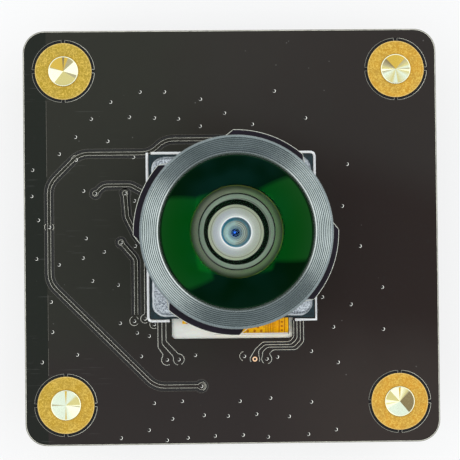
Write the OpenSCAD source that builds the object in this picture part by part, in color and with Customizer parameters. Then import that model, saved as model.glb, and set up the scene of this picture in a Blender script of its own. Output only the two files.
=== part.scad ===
// Fisheye camera module: a square circuit board on four threaded spacers, with a sensor
// module and its screwed-in wide-angle lens on the front and the ribbon connector behind.
// Lens up along +Z, the ribbon leaves towards -Y. The origin is the centre of the plane
// that the four spacers stand on. Millimetres.

/* [Board] */
// Edge length of the square board
board_w = 38; // [36:0.5:60]
// Thickness of the board
board_t = 1.6; // [1:0.1:2.4]
// Radius of the board's corners
corner_r = 2; // [0.5:0.1:3]
// Distance of the mounting holes from the board's edges
hole_inset = 3.7; // [3:0.1:5]
// Diameter of the mounting holes
hole_d = 2.8; // [2.4:0.05:3.6]
// Diameter of the plated ring round each mounting hole
pad_d = 5.2; // [4.8:0.1:6]
// Thickness of the plated rings
pad_t = 0.05; // [0.03:0.01:0.1]
// Width of the bare ring between the plating and the board's dark coating
pad_gap = 0.25; // [0.1:0.05:0.4]

/* [Spacers] */
// Height of the spacers behind the board
spacer_h = 6; // [5.5:0.5:12]
// Outer diameter of the spacers
spacer_d = 4.6; // [4:0.1:5]
// Core diameter of the tapped hole
tap_d = 2.05; // [1.6:0.05:2.5]
// Depth of the tapped hole
tap_depth = 4.8; // [3:0.1:5]
// How far the spacer's pilot stands proud of the board
pilot_proud = 0.12; // [0:0.01:0.4]

/* [Sensor module] */
// Major diameter of the lens thread
thread_d = 12; // [11.5:0.1:14.5]
// Wall of the holder's threaded collar
collar_wall = 0.9; // [0.7:0.05:1.5]
// Overall height of the lens holder
holder_h = 6.2; // [5:0.1:6.5]
// Height of the holder's square foot
foot_h = 2.4; // [2:0.1:4]
// How far the foot reaches past the collar on each side
foot_margin = 0.25; // [0:0.05:1]
// How far the sensor board reaches past the foot on each side
module_margin = 0.35; // [0.1:0.05:1]
// Thickness of the sensor board
module_t = 0.4; // [0.3:0.05:0.8]
// Width of the slot that the flex passes through
slot_w = 11.2; // [10.4:0.1:14]
// How far the slot reaches past the sensor board
slot_reach = 1.9; // [1.6:0.1:2.5]
// Width of the flex where it passes the slot
flex_w = 6.7; // [5:0.1:8]
// Thickness of the flex
flex_t = 0.16; // [0.1:0.01:0.3]

/* [Lens] */
// Height of the lens's lower end above the board's front
lens_z = 2.95; // [2.9:0.05:3.3]
// Diameter of the front ring's opening
ring_opening = 13.25; // [12:0.05:16]
// Radius of the front glass's outer surface
dome_r = 11.5; // [9.5:0.1:20]
// Wall of the front ring round its thread
ring_wall = 0.6; // [0.4:0.05:1]
// Number of fine grooves turned into the front ring
groove_count = 8; // [4:1:12]
// How far the four grip lobes stand out of the flange
lobe_rise = 0.7; // [0.2:0.05:1.5]
// Arc that each grip lobe covers, in degrees
lobe_arc = 42; // [20:1:70]
// Direction of the first lobe's middle, in degrees
lobe_turn = 70; // [0:1:89]

/* [Ribbon connector] */
// Number of ribbon contacts
contact_count = 15; // [10:1:18]
// Distance between neighbouring contacts
contact_pitch = 1; // [0.5:0.1:1]
// Height of the connector off the board
connector_h = 2.5; // [2.3:0.1:4]
// Depth of the connector's housing
connector_depth = 4.4; // [4:0.1:6]

/* [Hidden] */
$fn = 64;

// Fits
fit = 0.05;            // radial gap of what drops into a bore
slide_fit = 0.1;       // gap round what slides
overcut = 1;           // how far a cutter runs past the face it opens

// Sag of a sphere of radius r at the distance a from its axis
function sag(r, a) = r - sqrt(r * r - a * a);

// Levels, measured from the spacers' seats
rear_z = spacer_h;
front_z = spacer_h + board_t;
tape_t = 0.1;
module_z = front_z + tape_t;
foot_z = module_z + module_t;

// Board
hole_corners = [[-1, -1], [1, -1], [-1, 1], [1, 1]];
hole_pitch = board_w - 2 * hole_inset;
pilot_d = hole_d - 2 * fit;
pad_sink = 0.03;       // the plating lies this deep in the coating

// Sensor module
collar_d = thread_d + 2 * collar_wall;
holder_w = collar_d + 2 * foot_margin;
module_w = holder_w + 2 * module_margin;
foot_r = 1;
cavity_w = 10.6;       // room round the sensor
cavity_h = 1.3;
shelf_t = 0.5;         // carries the filter
shelf_z = foot_z + cavity_h;
bore_z = shelf_z + shelf_t;
window = [7.2, 5.8];
filter_w = 8.2;
filter_t = 0.3;
filter_sink = 0.15;
die = [8, 6.6, 0.3];
collar_top = foot_z + holder_h;
foot_bevel = 0.2;      // along the foot's upper edge
bead_w = 0.18;         // bead of adhesive round the foot
bead_h = 0.4;

// Lens, from its lower end upwards, measured from the board's front
shank_r = thread_d / 2 - fit;
shank_h = 5.25;
neck_h = 1;
neck_r = shank_r - 0.35;
retainer_h = 0.5;
rear_bore_r = 3.1;     // lenses 4 to 6, loaded from behind
back_6 = lens_z + retainer_h;
front_6 = back_6 + 0.35;
front_5 = front_6 + 1.5;
back_4 = front_5 + 0.2;
front_4 = back_4 + 1.7;
web_r = 2.2;           // opening between the rear and front stacks
web_low = front_4 - sag(8, web_r);
stop_seat = web_low + 0.4;
stop_t = 0.1;
stop_r = 0.65;
mid_bore_r = 3.75;     // lens 3 and the stop
back_3 = stop_seat + stop_t + 0.7;
front_3 = back_3 + 1.42;
clear_3 = 2.6;
shoulder_3 = front_3 - sag(6, clear_3);
seat_2 = shoulder_3 + 0.92;
top_bore_r = 4.75;     // lens 2 and its spacer ring
hollow_2 = 3.1;        // edge radius of lens 2's hollow
back_2 = seat_2 + sag(3.4, hollow_2);
front_2 = back_2 + 0.75;
clear_2 = 3;
shoulder_2 = front_2 - sag(9, clear_2);
washer_low = shoulder_2 + 1.21;
washer_t = 0.2;
seat_1 = washer_low + washer_t;
hollow_1 = 3.53;       // edge radius of lens 1's hollow
back_1 = seat_1 + sag(4.13, hollow_1);
front_1 = back_1 + 1.84;
clear_1 = ring_opening / 2 - fit;
lip_t = 0.6;           // the front ring's lip clamps lens 1 by its shoulder
lip_top = front_1 - sag(dome_r, clear_1) + 0.1;
shoulder_1 = lip_top - lip_t;

// Lens elements: [front vertex, back vertex, front radius, back radius, edge radius,
// level of the rim, clear radius, level of the shoulder round it].
// A radius is positive where its centre lies behind the surface, and 0 is flat.
glass_r = ring_opening / 2 + 0.575;
optic_1 = [front_1, back_1, dome_r, 4.13, glass_r, seat_1, clear_1, shoulder_1];
optic_2 = [front_2, back_2, 9, 3.4, top_bore_r - fit, seat_2, clear_2, shoulder_2];
optic_3 = [front_3, back_3, 6, 0, mid_bore_r - fit, back_3, clear_3, shoulder_3];
optic_4 = [front_4, back_4, 8, -7, rear_bore_r - fit, back_4 - overcut, 0, 0];
optic_5 = [front_5, front_6, 7, -9, rear_bore_r - fit, front_6 - overcut, 0, 0];
optic_6 = [front_6, back_6, -9, 0, rear_bore_r - fit, back_6, 0, 0];

// Outside of the lens
spigot_r = glass_r + fit + 0.4;        // the front ring screws onto this
ring_r = spigot_r + fit + ring_wall;
flange_r = ring_r - 0.15;              // between the lobes
flange_high = seat_1 - 0.3;
flange_low = flange_high - 1.8;
head_r = flange_r - 0.55;
head_low = lens_z + shank_h + neck_h;
head_cone = 1.1;
spigot_top = shoulder_1 - 0.1;
ring_shoulder = shoulder_1 - 0.3;
ring_bevel = 0.2;
lip_flat = 0.19;
lip_bevel = 0.07;
groove_width = 0.42;   // as a part of the distance between the grooves
groove_depth = 0.045;

// Flex, plug and socket behind the board
slot_inner = module_w / 2 - 0.8;
slot_outer = module_w / 2 + slot_reach;
slot_r = 0.4;
flex_x = slot_w / 2 - 0.5 - flex_w / 2;
flex_face = slot_outer - 0.5;          // the flex's outer face in the slot
flex_bend_r = 0.75;
flex_shoulder = [9.7, 0.48];           // the flex's broad start at the sensor board
guide_sink = 0.3;                      // the guide's top below the board's front
guide_lip = 0.6;
guide_lip_t = 0.4;
socket = [8.4, 2.8, 0.7];
socket_y = -slot_inner + 0.9 + socket[1] / 2;
plug_stack = 0.9;                      // board to flex, with the plug home
plug = [7.4, 1.8, 0.75];
tongue = [6.2, 0.5];
socket_floor = 0.15;
flex_low_z = rear_z - plug_stack;
flex_pad = [9.2, 4.2];                 // the flex's broad end over the plug
stiffener_t = 0.3;

// Ribbon connector, drawn with its mouth towards +Y and its solder side at z = 0
contacts_w = (contact_count - 1) * contact_pitch;
contact_w = 0.3;
contact_t = 0.2;
tail = 0.8;
mouth_w = contacts_w + 2.4;
mouth_h = 1.1;
mouth_z = 0.7;
back_wall = 0.6;
side_w = 2.2;          // housing beyond the mouth on each side
housing_w = mouth_w + 2 * side_w;
latch_d = 1.3;
latch_gap = 0.05;
arm = [0.9, 3, 0.9];
arm_x = mouth_w / 2 + side_w / 2;
tongue_t = 0.45;
tab_foot = [0.9, 2.2, 0.25];
tab_riser = [0.25, 1.6, 1.2];
mouth_edge = 0.6;      // latch to the board's edge
connector_y = -board_w / 2 + mouth_edge + latch_d + latch_gap + connector_depth;

// Small parts behind the board
regulator_spots = [[-9.6, 3.2], [-9.6, 8.4], [9.6, 3.2]];
oscillator_spot = [9.6, 8.6];
regulator_body = [1.6, 2.9, 1.1];
oscillator_body = [2.5, 2, 0.7];
chip = [1, 0.5, 0.5];
chip_cap = 0.22;       // length of each tinned end
capacitor_spots = concat(
    [for (i = [0 : 4]) [-4 + 2 * i, 1.4]],
    [for (x = [-13.2, -6, 6, 13.2], y = [3.2, 8.4]) [x, y]]
);
resistor_spots = [for (i = [0 : 7]) [-7 + 2 * i, 12.5]];

// Helpers

function polar(r, a) = [r * cos(a), r * sin(a)];

module rounded_square(w, r) {
    square([w, w - 2 * r], center = true);
    square([w - 2 * r, w], center = true);
    for (c = hole_corners)
        translate((w / 2 - r) * c) circle(r = r);
}

// A rounded slot across the board, between two distances towards -Y
module rounded_slot(w, inner, outer, r) {
    for (x = [-1, 1], y = [inner + r, outer - r])
        translate([x * (w / 2 - r), -y]) circle(r = r);
    translate([-w / 2 + r, -outer]) square([w - 2 * r, outer - inner]);
    translate([-w / 2, -outer + r]) square([w, outer - inner - 2 * r]);
}

// A box that stands centred on the point at
module block(size, at = [0, 0, 0]) {
    translate(at + [-size[0] / 2, -size[1] / 2, 0]) cube(size);
}

module tube(outer, inner, low, high) {
    rotate_extrude() translate([inner, low]) square([outer - inner, high - low]);
}

module at_holes() {
    for (c = hole_corners)
        translate([c[0] * hole_pitch / 2, c[1] * hole_pitch / 2, 0]) children();
}

// Places a part drawn solder side down on the back of the board
module behind_board(at) {
    translate([at[0], at[1], rear_z]) rotate([180, 0, 0]) children();
}

// Board

module main_board() {
    pocket_d = pad_d + 2 * pad_gap;
    color([0.06, 0.06, 0.06])
    difference() {
        translate([0, 0, rear_z]) linear_extrude(board_t)
            difference() {
                rounded_square(board_w, corner_r);
                rounded_slot(slot_w, slot_inner, slot_outer, slot_r);
            }
        at_holes() {
            translate([0, 0, rear_z - overcut]) cylinder(d = hole_d, h = board_t + 2 * overcut);
            translate([0, 0, front_z - pad_sink]) cylinder(d = pocket_d, h = overcut);
            translate([0, 0, rear_z - overcut]) cylinder(d = pocket_d, h = overcut + pad_sink);
        }
    }
}

module front_pads() {
    color([0.85, 0.65, 0.25])
    at_holes() tube(pad_d / 2, hole_d / 2, front_z - pad_sink, front_z - pad_sink + pad_t);
}

module rear_pads() {
    color([0.85, 0.65, 0.25])
    at_holes() tube(pad_d / 2, hole_d / 2, rear_z + pad_sink - pad_t, rear_z + pad_sink);
}

// A blind spacer: its body is soldered to the rear plating and its pilot fills the hole
module spacer(i) {
    corner = hole_corners[i] * hole_pitch / 2;
    bevel = 0.15;
    shoulder = rear_z + pad_sink - pad_t;
    tip = front_z + pilot_proud;
    drill_point = tap_d / 2 * tan(31);
    color([0.83, 0.78, 0.58])
    translate([corner[0], corner[1], 0])
        rotate_extrude()
            polygon([
                [tap_d / 2 + bevel, 0], [spacer_d / 2 - bevel, 0], [spacer_d / 2, bevel],
                [spacer_d / 2, shoulder - bevel], [spacer_d / 2 - bevel, shoulder],
                [pilot_d / 2, shoulder], [pilot_d / 2, tip - bevel], [pilot_d / 2 - bevel, tip],
                [0, tip], [0, tap_depth + drill_point], [tap_d / 2, tap_depth],
                [tap_d / 2, bevel]
            ]);
}

// Sensor module

module module_tape() {
    color([0.1, 0.1, 0.1])
    translate([0, 0, front_z]) linear_extrude(tape_t)
        difference() {
            square(module_w - 0.6, center = true);
            rounded_slot(slot_w + 1, slot_inner - 0.5, module_w, slot_r);
        }
}

module module_board() {
    color([0.05, 0.13, 0.1])
    block([module_w, module_w, module_t], [0, 0, module_z]);
}

module image_sensor() {
    color([0.25, 0.3, 0.33])
    block(die, [0, 0, foot_z]);
}

module infrared_filter() {
    color([0.4, 0.75, 0.7, 0.5])
    block([filter_w, filter_w, filter_t], [0, 0, bore_z - filter_sink]);
}

module lens_holder() {
    bevel = 0.3;
    color([0.62, 0.63, 0.66])
    difference() {
        union() {
            translate([0, 0, foot_z]) linear_extrude(foot_h - foot_bevel)
                rounded_square(holder_w, foot_r);
            translate([0, 0, foot_z + foot_h - foot_bevel]) foot_rim();
            translate([0, 0, foot_z]) cylinder(d = collar_d, h = holder_h - bevel);
            translate([0, 0, collar_top - bevel])
                cylinder(d1 = collar_d, d2 = collar_d - 2 * bevel, h = bevel);
        }
        block([cavity_w, cavity_w, cavity_h + overcut], [0, 0, foot_z - overcut]);
        block([window[0], window[1], shelf_t + 2 * overcut], [0, 0, shelf_z - overcut]);
        block([filter_w + 2 * fit, filter_w + 2 * fit, filter_sink + overcut], [0, 0, bore_z - filter_sink]);
        translate([0, 0, bore_z]) cylinder(d = thread_d, h = holder_h);
    }
}

// The foot's bevelled upper edge: two slanting bars across each other, and a cone at each corner
module foot_rim() {
    span = holder_w - 2 * foot_r;
    for (turn = [0, 90])
        rotate([90, 0, turn]) linear_extrude(span, center = true)
            polygon([
                [-holder_w / 2, 0], [holder_w / 2, 0],
                [holder_w / 2 - foot_bevel, foot_bevel], [foot_bevel - holder_w / 2, foot_bevel]
            ]);
    for (x = [-1, 1], y = [-1, 1])
        translate([x * span / 2, y * span / 2, 0])
            cylinder(r1 = foot_r, r2 = foot_r - foot_bevel, h = foot_bevel);
}

// The bead on the collar's rim that locks the lens at its focus
module focus_glue() {
    bead = 0.45;
    color([0.85, 0.85, 0.8, 0.8])
    rotate_extrude()
        polygon([
            [shank_r, collar_top], [shank_r + bead + fit, collar_top],
            [shank_r + 0.15, collar_top + 0.3], [shank_r, collar_top + bead]
        ]);
}

// The bead of adhesive round the foot, which bonds it to the sensor board
module foot_bead() {
    color([0.85, 0.85, 0.8, 0.8])
    translate([0, 0, foot_z]) linear_extrude(bead_h) difference() {
        rounded_square(holder_w + 2 * bead_w, foot_r + bead_w);
        rounded_square(holder_w, foot_r);
    }
}

// Lens housing

module lens_barrel() {
    bevel = 0.25;
    shank_top = lens_z + shank_h;
    mouth_r = glass_r + fit;
    color([0.08, 0.07, 0.1])
    translate([0, 0, front_z])
        difference() {
            union() {
                rotate_extrude()
                    polygon([
                        [0, lens_z], [shank_r - bevel, lens_z], [shank_r, lens_z + bevel],
                        [shank_r, shank_top - bevel], [neck_r, shank_top], [neck_r, head_low],
                        [head_r - head_cone, head_low], [head_r, head_low + head_cone],
                        [head_r, flange_low + bevel], [spigot_r, flange_low + bevel],
                        [spigot_r, spigot_top], [0, spigot_top]
                    ]);
                grip_flange();
            }
            rotate_extrude()
                polygon([
                    [0, lens_z - overcut], [rear_bore_r, lens_z - overcut], [rear_bore_r, web_low],
                    [web_r, web_low], [web_r, stop_seat], [mid_bore_r, stop_seat], [mid_bore_r, seat_2],
                    [top_bore_r, seat_2], [top_bore_r, seat_1], [mouth_r, seat_1],
                    [mouth_r, spigot_top + overcut], [0, spigot_top + overcut]
                ]);
        }
}

// The flange that the fingers turn: a disc with four grip lobes whose ends slant
module grip_flange() {
    foot = flange_r - 0.4;
    tip = flange_r + lobe_rise;
    bevel = 0.15;
    half = lobe_arc / 2;
    slant = (tip - foot) / tip * 180 / PI;
    intersection() {
        rotate_extrude()
            polygon([
                [0, flange_low], [tip - bevel, flange_low], [tip, flange_low + bevel],
                [tip, flange_high - bevel], [tip - bevel, flange_high], [0, flange_high]
            ]);
        union() {
            translate([0, 0, flange_low - overcut])
                cylinder(r = flange_r, h = flange_high - flange_low + 2 * overcut);
            for (i = [0 : 3])
                rotate([0, 0, lobe_turn + 90 * i])
                    translate([0, 0, flange_low - overcut])
                        linear_extrude(flange_high - flange_low + 2 * overcut)
                            polygon([
                                [0, 0], polar(foot, -half - slant), polar(tip, -half),
                                polar(tip * 1.2, -half), polar(tip * 1.3, 0), polar(tip * 1.2, half),
                                polar(tip, half), polar(foot, half + slant)
                            ]);
        }
    }
}

// The ring that clamps the front glass, with fine V-shaped grooves turned into its sloping face
module front_ring() {
    slope_in = ring_opening / 2 + lip_flat;
    slope_out = ring_r - ring_bevel;
    slope_low = ring_shoulder + ring_bevel;
    run = (slope_in - slope_out) / groove_count;
    rise = (lip_top - slope_low) / groove_count;
    cut = [[0, 0], [groove_width / 2, -groove_depth], [groove_width, 0]];
    color([0.5, 0.54, 0.56])
    translate([0, 0, front_z])
        rotate_extrude()
            polygon(concat(
                [[spigot_r + fit, flange_high + fit], [ring_r, flange_high + fit], [ring_r, ring_shoulder],
                 [slope_out, slope_low]],
                [for (i = [0 : groove_count - 1], c = cut)
                    [slope_out + run * (i + 0.3 + c[0]), slope_low + rise * (i + 0.3 + c[0]) + c[1]]],
                [[slope_in, lip_top], [ring_opening / 2 + lip_bevel, lip_top],
                 [ring_opening / 2, lip_top - lip_bevel], [ring_opening / 2, shoulder_1],
                 [spigot_r + fit, shoulder_1]]
            ));
}

// Optics

// One glass element: the part between its two spherical faces, and the flat shoulder round it
module element(o) {
    front = o[0];
    back = o[1];
    rim = o[5];
    clear = o[6] > 0 ? o[6] : o[4];
    $fn = 144;
    difference() {
        union() {
            intersection() {
                translate([0, 0, rim]) cylinder(r = clear, h = front - rim + overcut);
                if (o[2] > 0) translate([0, 0, front - o[2]]) sphere(r = o[2]);
                if (o[3] < 0) translate([0, 0, back - o[3]]) sphere(r = -o[3]);
            }
            if (o[6] > 0) translate([0, 0, rim]) cylinder(r = o[4], h = o[7] - rim);
        }
        if (o[2] < 0) translate([0, 0, front - o[2]]) sphere(r = -o[2]);
        if (o[3] > 0) translate([0, 0, back - o[3]]) sphere(r = o[3]);
    }
}

// Level at which an element's faces reach the distance a from the axis
function front_level(o, a) = o[2] == 0 ? o[0] : o[0] - sign(o[2]) * sag(abs(o[2]), a);
function back_level(o, a) = o[3] == 0 ? o[1] : o[1] - sign(o[3]) * sag(abs(o[3]), a);

module glass(o) {
    color([0.15, 0.35, 0.2, 0.4]) translate([0, 0, front_z]) element(o);
}

module turned(outline) {
    color([0.09, 0.09, 0.1]) translate([0, 0, front_z]) rotate_extrude() polygon(outline);
}

module ring_between(outer, inner, low, high) {
    turned([[inner, low], [outer, low], [outer, high], [inner, high]]);
}

// Bare metal washer under the front glass, with a stepped bore
module glass_washer() {
    inner = hollow_2 + 0.08;
    step = washer_t / 4;
    turned(concat(
        [[inner, washer_low], [top_bore_r - fit, washer_low], [top_bore_r - fit, seat_1]],
        [for (i = [3 : -1 : 1], s = [1 : -1 : 0]) [inner + 0.15 * i + 0.1 * s, washer_low + step * (i + s)]],
        [[inner + 0.1, washer_low + step], [inner, washer_low + step]]
    ));
}

// Rings that hold the elements apart
module spacer_ring_1() {
    ring_between(top_bore_r - fit, hollow_2 + 0.08, shoulder_2, washer_low);
}

module spacer_ring_2() {
    outer = mid_bore_r - fit;
    turned([
        [clear_3, shoulder_3], [outer, shoulder_3], [outer, seat_2],
        [hollow_2 + 0.05, seat_2]
    ]);
}

module spacer_ring_3() {
    ring_between(mid_bore_r - fit, 2.8, stop_seat + stop_t, back_3);
}

module spacer_ring_4() {
    inner = 2.4;
    ring_between(rear_bore_r - fit, inner, front_level(optic_5, inner), back_level(optic_4, inner));
}

module aperture_stop() {
    ring_between(mid_bore_r - fit, stop_r, stop_seat, stop_seat + stop_t);
}

// Threaded ring with two spanner slots, which closes the lens from behind
module rear_retainer() {
    inner = 2.5;
    difference() {
        ring_between(rear_bore_r - fit, inner, lens_z, back_6);
        block([2 * rear_bore_r, 0.6, overcut + 0.25], [0, 0, front_z + lens_z - overcut]);
    }
}

// Flex tail

// The flex leaves the sensor board, turns down through the slot and back under the board
module module_flex() {
    start = module_w / 2;
    top = foot_z;
    bottom = flex_low_z - flex_t;
    turn = flex_face - flex_bend_r;
    pad_end = -socket_y + flex_pad[1] / 2;
    color([0.9, 0.55, 0.1]) {
        translate([flex_x - flex_w / 2, 0, 0]) rotate([90, 0, 90]) mirror([1, 0, 0])
            linear_extrude(flex_w) {
                translate([start, top - flex_t]) square([turn - start, flex_t]);
                translate([turn, top - flex_bend_r]) quarter_bend(0);
                translate([flex_face - flex_t, bottom + flex_bend_r])
                    square([flex_t, top - bottom - 2 * flex_bend_r]);
                translate([turn, bottom + flex_bend_r]) quarter_bend(-90);
                translate([pad_end, bottom]) square([turn - pad_end, flex_t]);
            }
        translate([slot_w / 2 - 0.5 - flex_shoulder[0], -start - flex_shoulder[1], top - flex_t])
            cube([flex_shoulder[0], flex_shoulder[1], flex_t]);
        translate([flex_x, socket_y, bottom]) linear_extrude(flex_t)
            flex_end();
    }
}

// Rounded outline of the flex's broad end
module flex_end() {
    r = 0.5;
    square([flex_pad[0], flex_pad[1] - 2 * r], center = true);
    square([flex_pad[0] - 2 * r, flex_pad[1]], center = true);
    for (c = hole_corners)
        translate([c[0] * (flex_pad[0] / 2 - r), c[1] * (flex_pad[1] / 2 - r)]) circle(r = r);
}

module quarter_bend(turn) {
    rotate(turn)
        intersection() {
            difference() {
                circle(r = flex_bend_r);
                circle(r = flex_bend_r - flex_t);
            }
            square(flex_bend_r + overcut);
        }
}

// Moulded guide that fills the slot round the flex and is glued to the board's back
module flex_guide() {
    color([0.86, 0.84, 0.74])
    difference() {
        union() {
            translate([0, 0, rear_z - guide_lip_t]) linear_extrude(board_t + guide_lip_t - guide_sink)
                rounded_slot(slot_w - 2 * fit, slot_inner + fit, slot_outer - fit, slot_r - fit);
            translate([0, 0, rear_z - guide_lip_t]) linear_extrude(guide_lip_t)
                rounded_slot(slot_w + 2 * guide_lip, slot_inner - guide_lip, slot_outer + guide_lip,
                             slot_r + guide_lip);
        }
        translate([flex_x - flex_w / 2 - slide_fit, -flex_face - slide_fit, rear_z - overcut])
            cube([flex_w + 2 * slide_fit, flex_face + 2 * slide_fit - slot_inner - 0.6, board_t + 2 * overcut]);
    }
}

module flex_stiffener() {
    color([0.75, 0.76, 0.74])
    translate([flex_x, socket_y, flex_low_z - flex_t - stiffener_t]) linear_extrude(stiffener_t)
        flex_end();
}

module module_socket() {
    color([0.12, 0.12, 0.12])
    behind_board([flex_x, socket_y])
        difference() {
            block(socket);
            difference() {
                block([plug[0] + 2 * fit, plug[1] + 2 * fit, socket[2]], [0, 0, socket_floor]);
                block([tongue[0], tongue[1], socket[2]]);
            }
        }
}

module module_plug() {
    color([0.16, 0.16, 0.16])
    behind_board([flex_x, socket_y])
        difference() {
            block(plug, [0, 0, plug_stack - plug[2]]);
            block([tongue[0] + 2 * fit, tongue[1] + 2 * fit, socket[2] + fit]);
        }
}

// Ribbon connector

function contact_x(i) = (i - (contact_count - 1) / 2) * contact_pitch;

// One contact: a solder tail, a riser through the back wall and a blade along the mouth's floor
module contact_blank(i) {
    rise = mouth_z + contact_t;
    blade = connector_depth - 0.9;
    translate([contact_x(i) - contact_w / 2, 0, 0]) rotate([90, 0, 90]) linear_extrude(contact_w)
        polygon([
            [-tail, 0], [0.3, 0], [0.3, mouth_z], [blade, mouth_z], [blade, rise],
            [0.1, rise], [0.1, contact_t], [-tail, contact_t]
        ]);
}

module ribbon_contacts() {
    color([0.8, 0.75, 0.6])
    behind_board([0, connector_y])
        for (i = [0 : contact_count - 1]) contact_blank(i);
}

// Solder tab that holds one end of the connector down
module tab_blank(side) {
    translate([side * housing_w / 2, 1.6, 0]) {
        translate([side > 0 ? 0 : -tab_foot[0], 0, 0]) cube(tab_foot);
        translate([side > 0 ? -tab_riser[0] : 0, 0.3, 0]) cube(tab_riser);
    }
}

module ribbon_tabs() {
    color([0.75, 0.76, 0.78])
    behind_board([0, connector_y])
        for (side = [-1, 1]) tab_blank(side);
}

module ribbon_housing() {
    groove = [arm[0] + 2 * slide_fit, arm[1] + latch_gap + slide_fit, arm[2] + 2 * slide_fit];
    color([0.85, 0.83, 0.77])
    behind_board([0, connector_y])
        difference() {
            translate([-housing_w / 2, 0, 0]) cube([housing_w, connector_depth, connector_h]);
            // the mouth that takes the ribbon and the latch's tongue
            translate([-mouth_w / 2, back_wall, mouth_z]) cube([mouth_w, connector_depth, mouth_h]);
            for (side = [-1, 1])
                translate([side * arm_x - groove[0] / 2, connector_depth - groove[1], mouth_z])
                    cube([groove[0], groove[1] + overcut, groove[2]]);
            for (i = [0 : contact_count - 1]) contact_blank(i);
            for (side = [-1, 1]) tab_blank(side);
        }
}

// The sliding latch: a bar with the ribbon's window, a clamping tongue and two arms
module ribbon_latch() {
    bar_y = connector_depth + latch_gap;
    window_z = mouth_z + contact_t;
    tongue_z = mouth_z + mouth_h - slide_fit - tongue_t;
    color([0.12, 0.11, 0.11])
    behind_board([0, connector_y])
        difference() {
            union() {
                translate([-housing_w / 2, bar_y, slide_fit])
                    cube([housing_w, latch_d, connector_h - slide_fit]);
                translate([-mouth_w / 2 + slide_fit, bar_y - arm[1], tongue_z])
                    cube([mouth_w - 2 * slide_fit, arm[1] + overcut / 2, tongue_t]);
                for (side = [-1, 1])
                    translate([side * arm_x - arm[0] / 2, bar_y - arm[1], mouth_z + slide_fit])
                        cube([arm[0], arm[1] + overcut / 2, arm[2]]);
            }
            translate([-mouth_w / 2 + slide_fit, bar_y - slide_fit, window_z])
                cube([mouth_w - 2 * slide_fit, latch_d + overcut, tongue_z - window_z]);
        }
}

// Small parts behind the board

// A moulded regulator with two leads on one side and three on the other
module regulator(i) {
    pitch = 0.95;
    lift = 0.1;
    bevel = 0.15;
    color([0.1, 0.1, 0.1])
    behind_board(regulator_spots[i]) {
        hull() {
            block([regulator_body[0], regulator_body[1], 0.4], [0, 0, lift + 0.3]);
            block([regulator_body[0] - 2 * bevel, regulator_body[1] - 2 * bevel, regulator_body[2] - lift],
                  [0, 0, lift]);
        }
        for (y = [-1, 0, 1]) gull_lead(1, y * pitch);
        for (y = [-1, 1]) gull_lead(-1, y * pitch);
    }
}

module gull_lead(side, y) {
    w = 0.4;
    t = 0.15;
    root = regulator_body[0] / 2 - 0.1;
    knee = root + 0.35;
    shelf = 0.5;
    outline = [
        [root, shelf], [knee, shelf], [knee, t], [root + 0.75, t],
        [root + 0.75, 0], [knee - t, 0], [knee - t, shelf - t], [root, shelf - t]
    ];
    translate([0, y + w / 2, 0]) rotate([90, 0, 0]) linear_extrude(w)
        polygon([for (p = outline) [side * p[0], p[1]]]);
}

// The oscillator's ceramic case with its welded metal lid
module oscillator() {
    lid = [2.2, 1.7, 0.1];
    color([0.7, 0.68, 0.6])
    behind_board(oscillator_spot) {
        block(oscillator_body);
        block([lid[0], lid[1], oscillator_body[2] + lid[2]]);
    }
}

module chip_bodies(spots) {
    for (s = spots)
        behind_board(s) block([chip[0] - 2 * chip_cap, chip[1], chip[2]]);
}

module chip_capacitors() {
    color([0.55, 0.42, 0.3]) chip_bodies(capacitor_spots);
}

module chip_resistors() {
    color([0.08, 0.08, 0.09]) chip_bodies(resistor_spots);
}

// Tinned ends of the chip capacitors and resistors
module chip_terminals() {
    color([0.8, 0.8, 0.8])
    for (s = concat(capacitor_spots, resistor_spots), side = [-1, 1])
        behind_board(s) block([chip_cap, chip[1], chip[2]], [side * (chip[0] - chip_cap) / 2, 0, 0]);
}

main_board();
front_pads();
rear_pads();
spacer(0);  // spacer_1
spacer(1);  // spacer_2
spacer(2);  // spacer_3
spacer(3);  // spacer_4
module_tape();
module_board();
image_sensor();
infrared_filter();
lens_holder();
focus_glue();
foot_bead();
lens_barrel();
front_ring();
glass(optic_1);  // lens_1
glass(optic_2);  // lens_2
glass(optic_3);  // lens_3
glass(optic_4);  // lens_4
glass(optic_5);  // lens_5
glass(optic_6);  // lens_6
glass_washer();
spacer_ring_1();
spacer_ring_2();
spacer_ring_3();
spacer_ring_4();
aperture_stop();
rear_retainer();
module_flex();
flex_guide();
flex_stiffener();
module_plug();
module_socket();
ribbon_housing();
ribbon_latch();
ribbon_contacts();
ribbon_tabs();
regulator(0);  // regulator_1
regulator(1);  // regulator_2
regulator(2);  // regulator_3
oscillator();
chip_capacitors();
chip_resistors();
chip_terminals();
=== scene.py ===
"""Looks for the fisheye camera module: finishes for every part of the frame, the relief of the
board's front, the polished glasses, the lens's thread, the lamps and the camera."""
import math

import bmesh
import bpy
from mathutils import Matrix, Vector


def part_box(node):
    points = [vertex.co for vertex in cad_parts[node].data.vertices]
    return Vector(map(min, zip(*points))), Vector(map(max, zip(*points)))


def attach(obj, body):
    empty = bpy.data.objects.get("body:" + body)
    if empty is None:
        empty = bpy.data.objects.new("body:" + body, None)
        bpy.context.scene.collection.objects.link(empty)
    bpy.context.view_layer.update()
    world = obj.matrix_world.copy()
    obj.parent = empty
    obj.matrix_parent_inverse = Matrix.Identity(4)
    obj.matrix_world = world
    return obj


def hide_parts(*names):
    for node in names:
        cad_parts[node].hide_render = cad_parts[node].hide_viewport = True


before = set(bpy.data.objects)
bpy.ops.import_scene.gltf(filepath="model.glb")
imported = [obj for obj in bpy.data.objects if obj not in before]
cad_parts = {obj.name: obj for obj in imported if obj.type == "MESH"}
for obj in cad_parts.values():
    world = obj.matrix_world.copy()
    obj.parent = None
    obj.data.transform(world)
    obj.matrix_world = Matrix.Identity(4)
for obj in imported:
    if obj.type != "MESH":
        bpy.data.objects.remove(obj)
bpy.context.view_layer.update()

MM = 0.001
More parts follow.
